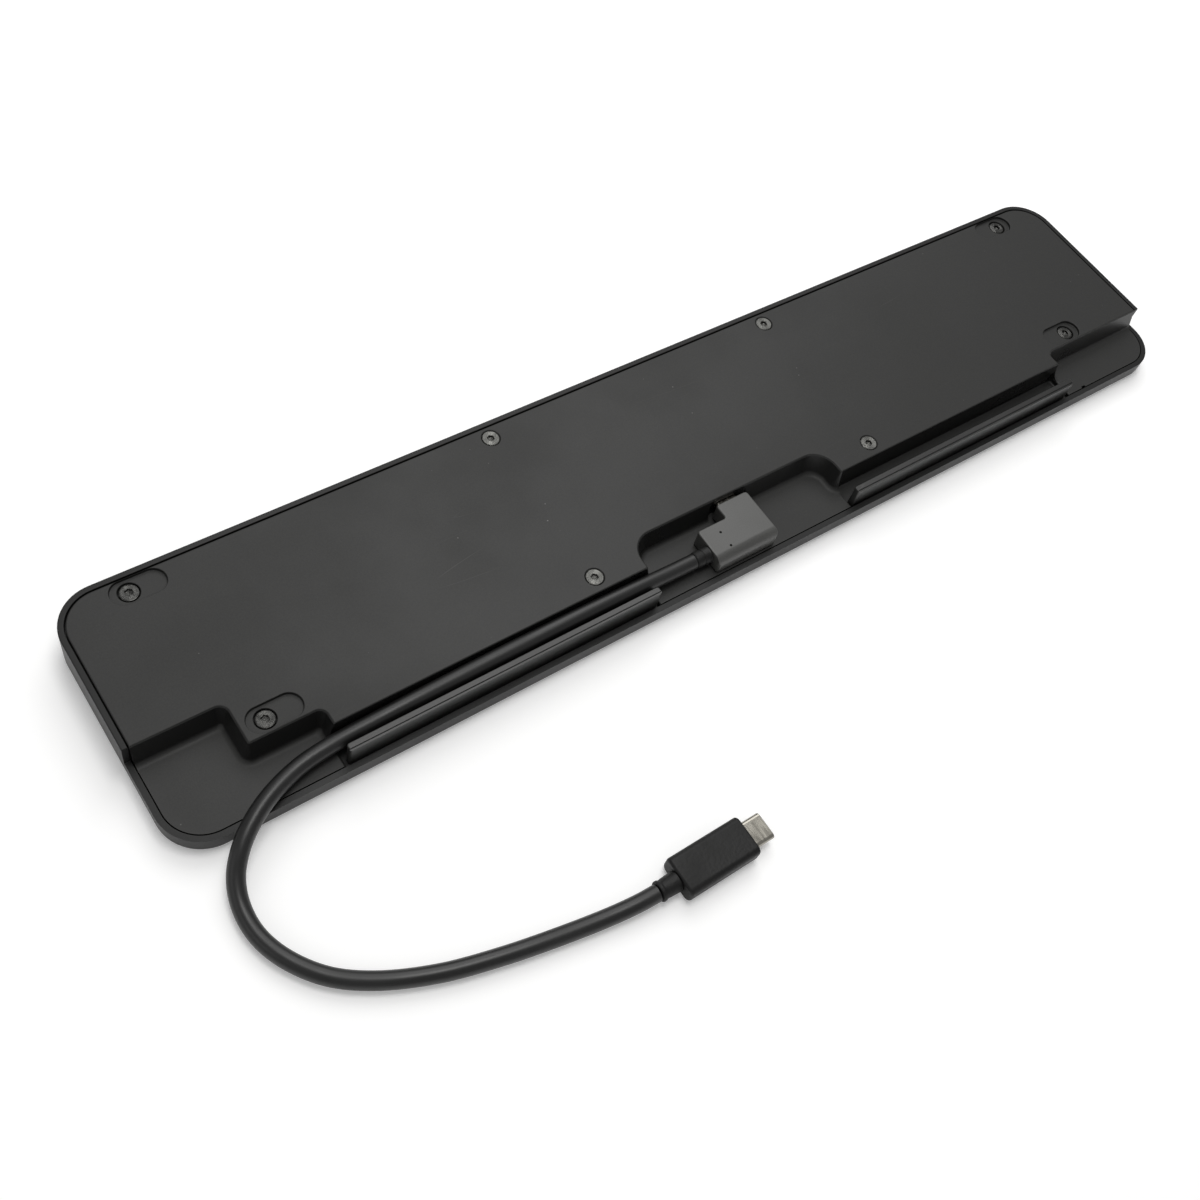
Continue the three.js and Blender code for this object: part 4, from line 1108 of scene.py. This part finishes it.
# The cut in an overmould's face that its metal shell stands in
def socketCut(face, plug):
    halfX, halfZ = plug["socketHalf"]
    side = [(0, face - plug["socketDepth"]), (0, face - 0.15), (0.12, face + 0.02), (0.12, face + 1)]
    return loftOutline("socket", centredPlan(halfX, halfZ, halfZ - 0.05), side, 8)


def makeHostPlug(plug):
    low, high = boxOf("host_plug_body")
    faceY, frontY = high.y, low.y
    left, right = low.x, high.x
    shoulderY = faceY - plug["armLength"]
    armX = -plug["armHalf"]
    plan = [
        (left, frontY, 1.1), (right, frontY, 1.4), (right, faceY, 1.2),
        (armX, faceY, 1.1), (armX, shoulderY, 0.7), (left, shoulderY, 1.1),
    ]
    side = roundedSide(low.z, high.z, plug["edge"], plug["edge"], 6)
    piece = loftOutline("host_plug_overmould", plan, side, 8)
    roll = plug["frontRoll"]
    arc = [(frontY - 1, high.z + 1), (frontY - 1, high.z - roll)]
    arc += [(frontY + roll * across, high.z - roll + roll * up) for across, up in quarterTurn(12)]
    arc.append((frontY + roll, high.z + 1))
    rings = [[Vector((x, y, z)) for y, z in arc] for x in (left - 2, right + 2)]
    cuts = [loftRings("roll", rings)]
    dotY = (frontY + shoulderY) / 2
    narrow, wide = plug["dotRadius"], plug["dotRadius"] + 0.08
    dotSide = [(narrow * 0.7, -1.0), (narrow, -0.8), (narrow, -0.05), (wide, 0.05), (wide, 0.5)]
    for offset in (-plug["dotOffset"], plug["dotOffset"]):
        cuts.append(moved(turned("dot", dotSide, 16), (plug["dotX"], dotY + offset, high.z)))
    middle = (low.z + high.z) / 2
    cuts.append(moved(socketCut(0, plug), (0, faceY, middle), alongY))
    combine(piece, cuts)
    settle(piece, "plugPlastic", "host_plug", ("host_plug_body",))
    face = (0, faceY, middle)
    makePlugShell("host_plug_shell", face, alongY, "Y", "host_plug", plug)
    makePlugCarrier("host_plug_carrier", face, alongY, "host_plug", plug)
    reliefLow, reliefHigh = boxOf("host_plug_relief")
    length = reliefHigh.x - reliefLow.x
    profile = [(2.3, 0), (2.42, 0.12), (2.55, 0.45), (2.62, 0.9), (2.64, 2.2), (2.5, 2.35), (2.5, 2.75),
               (2.66, 2.9), (2.72, length - 0.5), (2.8, length - 0.2), (2.83, length - 0.05), (2.8, length)]
    collar = turned("host_plug_collar", profile, 36)
    centre = (reliefLow.x, (reliefLow.y + reliefHigh.y) / 2, middle)
    moved(collar, centre, alongX)
    settle(collar, "overmould", "host_plug", ("host_plug_relief",))


def makeLaptopPlug(plug):
    low, high = boxOf("laptop_plug_body")
    middle = (low + high) / 2
    plan = centredPlan((high.y - low.y) / 2, (high.z - low.z) / 2, 1.9)
    length = high.x - low.x
    piece = loftOutline("laptop_plug_overmould", plan, roundedSide(0, length, 0.9, 0.7, 7), 9)
    combine(piece, [socketCut(length, plug)])
    moved(piece, (low.x, middle.y, middle.z), alongX)
    body = settle(piece, "overmould", "dock", ("laptop_plug_body",))
    face = (high.x, middle.y, middle.z)
    shell = makePlugShell("laptop_plug_shell", face, alongX, "X", "dock", plug)
    contacts = makePlugCarrier("laptop_plug_carrier", face, alongX, "dock", plug)
    reliefLow, reliefHigh = boxOf("laptop_plug_relief")
    reach = reliefHigh.x - reliefLow.x
    profile = [(2.55, 0), (2.85, 0.1), (2.98, 0.35), (2.98, 0.95), (2.85, 1.2), (2.72, 1.35), (2.72, 1.9),
               (2.8, 2.3), (2.95, reach - 0.9), (3.05, reach - 0.3), (3.0, reach)]
    relief = turned("laptop_plug_boot", profile, 36)
    moved(relief, (reliefLow.x, middle.y, middle.z), alongX)
    relief = settle(relief, "overmould", "dock", ("laptop_plug_relief",))
    return [body, shell, contacts, relief]


makeHostPlug(plugSettings)
laptopPieces = makeLaptopPlug(plugSettings)
print("plugs made")

# ---------------------------------------------------------------- rear ports


videoCorner = 1.6
networkOpening = {
    "plan": (-5.9, 5.9, -3.3, 3.6, 0.2), "depth": 12.5,
    "latch": (-2, 2, 0, 4.3, 0.15), "latchDepth": 7,
}
audioBore = {"radius": 1.8, "mouth": 2.1, "back": 0.8}


def portPlan(kind, halfX, halfZ):
    if kind == "usbC":
        return capsule(halfX, halfZ)
    if kind == "video":
        cut = videoCorner
        return [
            (-halfX, -halfZ + cut, 0.35), (-halfX + cut, -halfZ, 0.35), (halfX - cut, -halfZ, 0.35),
            (halfX, -halfZ + cut, 0.35), (halfX, halfZ, 0.35), (-halfX, halfZ, 0.35),
        ]
    return centredPlan(halfX, halfZ, 0.4)


# Rows of contacts on each kind of tongue: count, pitch, width and the tongue's sides that carry them
contactRows = {
    "usbC": (12, 0.5, 0.25, (-1, 1)),
    "video": (10, 1.0, 0.45, (-1, 1)),
    "usbA": (4, 2.0, 1.0, (-1,)),
    "network": (8, 1.02, 0.4, (-1,)),
}


def makePort(name, kind):
    low, high = boxOf(name)
    middle = (low + high) / 2
    mouth = (middle.x, high.y, middle.z)
    halfX, halfZ, deep = (high.x - low.x) / 2, (high.z - low.z) / 2, high.y - low.y
    plan = portPlan(kind, halfX, halfZ)
    if kind == "audio":
        side = roundedSide(-deep, 0, 0.2, 0.2, 3)
        piece = loftOutline(name + "_housing", centredPlan(halfX, halfZ, 0.5), side, 4)
        radius, mouthRadius = audioBore["radius"], audioBore["mouth"]
        profile = [(radius, audioBore["back"] - deep), (radius, -0.35)]
        profile += [(mouthRadius, 0.02), (mouthRadius, 1)]
        combine(piece, [turned("bore", profile, 36)])
        moved(piece, mouth, alongY)
        return settle(piece, "insulator", "dock", (name,))
    if kind == "network":
        piece = loftOutline(name + "_housing", plan, roundedSide(-deep, 0, 0.2, 0.25, 3), 4)
        cuts = networkOpening
        opening = flaredSide(-cuts["depth"], 0, 0, 0.25, 3)
        latch = flaredSide(-cuts["latchDepth"], 0, 0, 0.15, 3)
        combine(piece, [
            loftOutline("opening", rectangle(*cuts["plan"]), opening, 3),
            loftOutline("latch", rectangle(*cuts["latch"]), latch, 3),
        ])
    else:
        piece = openTube(name + "_housing", plan, 0.32, -deep, 0, 0.13, 7)
    moved(piece, mouth, alongY)
    settle(piece, "nickelPlate", "dock", (name,))
    tongueLow, tongueHigh = boxOf(name + "_tongue")
    tongueMiddle = (tongueLow + tongueHigh) / 2
    x, z = (tongueHigh.x - tongueLow.x) / 2, (tongueHigh.z - tongueLow.z) / 2
    reach = tongueHigh.y - tongueLow.y
    tongue = loftOutline(
        name + "_insert", centredPlan(x, z, min(0.25, z - 0.05)),
        roundedSide(-reach, 0, 0.05, 0.22, 4), 4,
    )
    place = (tongueMiddle.x, tongueHigh.y, tongueMiddle.z)
    moved(tongue, place, alongY)
    settle(tongue, "insulator", "dock", (name + "_tongue",))
    count, pitch, width, sides = contactRows[kind]
    strips = []
    for side in sides:
        for index in range(count):
            at = (index - (count - 1) / 2) * pitch
            y0, y1 = sorted((-side * (z - 0.03), -side * (z + 0.05)))
            strips.append((at - width / 2, at + width / 2, y0, y1))
    contacts = stripPiece(name + "_contacts", strips, -reach + 0.4, -0.5)
    moved(contacts, place, alongY)
    return settle(contacts, "goldContact", "dock")


for portName, port in portSettings.items():
    makePort(portName, port["kind"])


def makeHostReceptacle():
    low, high = boxOf("host_receptacle")
    middle = (low + high) / 2
    toFront = Matrix.Rotation(math.radians(90), 4, "X")
    plan = capsule((high.x - low.x) / 2, (high.z - low.z) / 2)
    piece = openTube("host_receptacle_tube", plan, 0.28, -(high.y - low.y), 0, 0.12, 8)
    moved(piece, (middle.x, low.y, middle.z), toFront)
    settle(piece, "nickelPlate", "dock", ("host_receptacle",))
    tongueLow, tongueHigh = boxOf("host_receptacle_tongue")
    x, z = (tongueHigh.x - tongueLow.x) / 2, (tongueHigh.z - tongueLow.z) / 2
    tongue = loftOutline(
        "host_receptacle_insert", centredPlan(x, z, 0.2),
        roundedSide(-(tongueHigh.y - tongueLow.y), 0, 0.05, 0.2, 4), 4,
    )
    moved(tongue, (0, tongueLow.y, (tongueLow.z + tongueHigh.z) / 2), toFront)
    settle(tongue, "insulator", "dock", ("host_receptacle_tongue",))


makeHostReceptacle()
print("ports made")

# ---------------------------------------------------------------- hidden electronics keep their solids

innerLooks = {
    "main_board": "boardMask",
    "hub_chip": "chipResin", "video_chip": "chipResin",
    "network_chip": "chipResin", "power_chip": "chipResin",
    "power_coil_1": "chipResin", "power_coil_2": "chipResin",
    "capacitor_1": "canAluminium", "capacitor_2": "canAluminium",
    "thermal_pad": "padSilicone", "heat_spreader": "canAluminium",
}
for corner in screwNames:
    innerLooks["board_screw_" + corner] = "greySteel"
for node, look in innerLooks.items():
    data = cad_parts[node].data
    data.materials.clear()
    data.materials.append(materials[look])

# ---------------------------------------------------------------- floor

floorSettings = {
    "size": 30.0, "z": -0.0004, "color": (0.93, 0.93, 0.93), "tone": (0.95, 0.95, 0.95), "glow": 0.19,
}


def makeFloor(settings):
    half = settings["size"] / 2
    z = settings["z"]
    corners = [(-half, -half, z), (half, -half, z), (half, half, z), (-half, half, z)]
    floor = meshPiece("floor", corners, [(0, 1, 2, 3)])
    material, tree, shader = newMaterial("paperFloor")
    coords = tree.nodes.new("ShaderNodeTexCoord")
    tone = noiseNode(tree, coords.outputs["Object"], 8.0, 2.0)
    tree.links.new(mixColor(tree, tone, settings["color"], settings["tone"]), shader.inputs["Base Color"])
    shader.inputs["Roughness"].default_value = 0.9
    shader.inputs["Emission Color"].default_value = (1, 1, 1, 1)
    shader.inputs["Emission Strength"].default_value = settings["glow"]
    shader.inputs["Specular IOR Level"].default_value = 0.1
    floor.data.materials.append(material)


makeFloor(floorSettings)
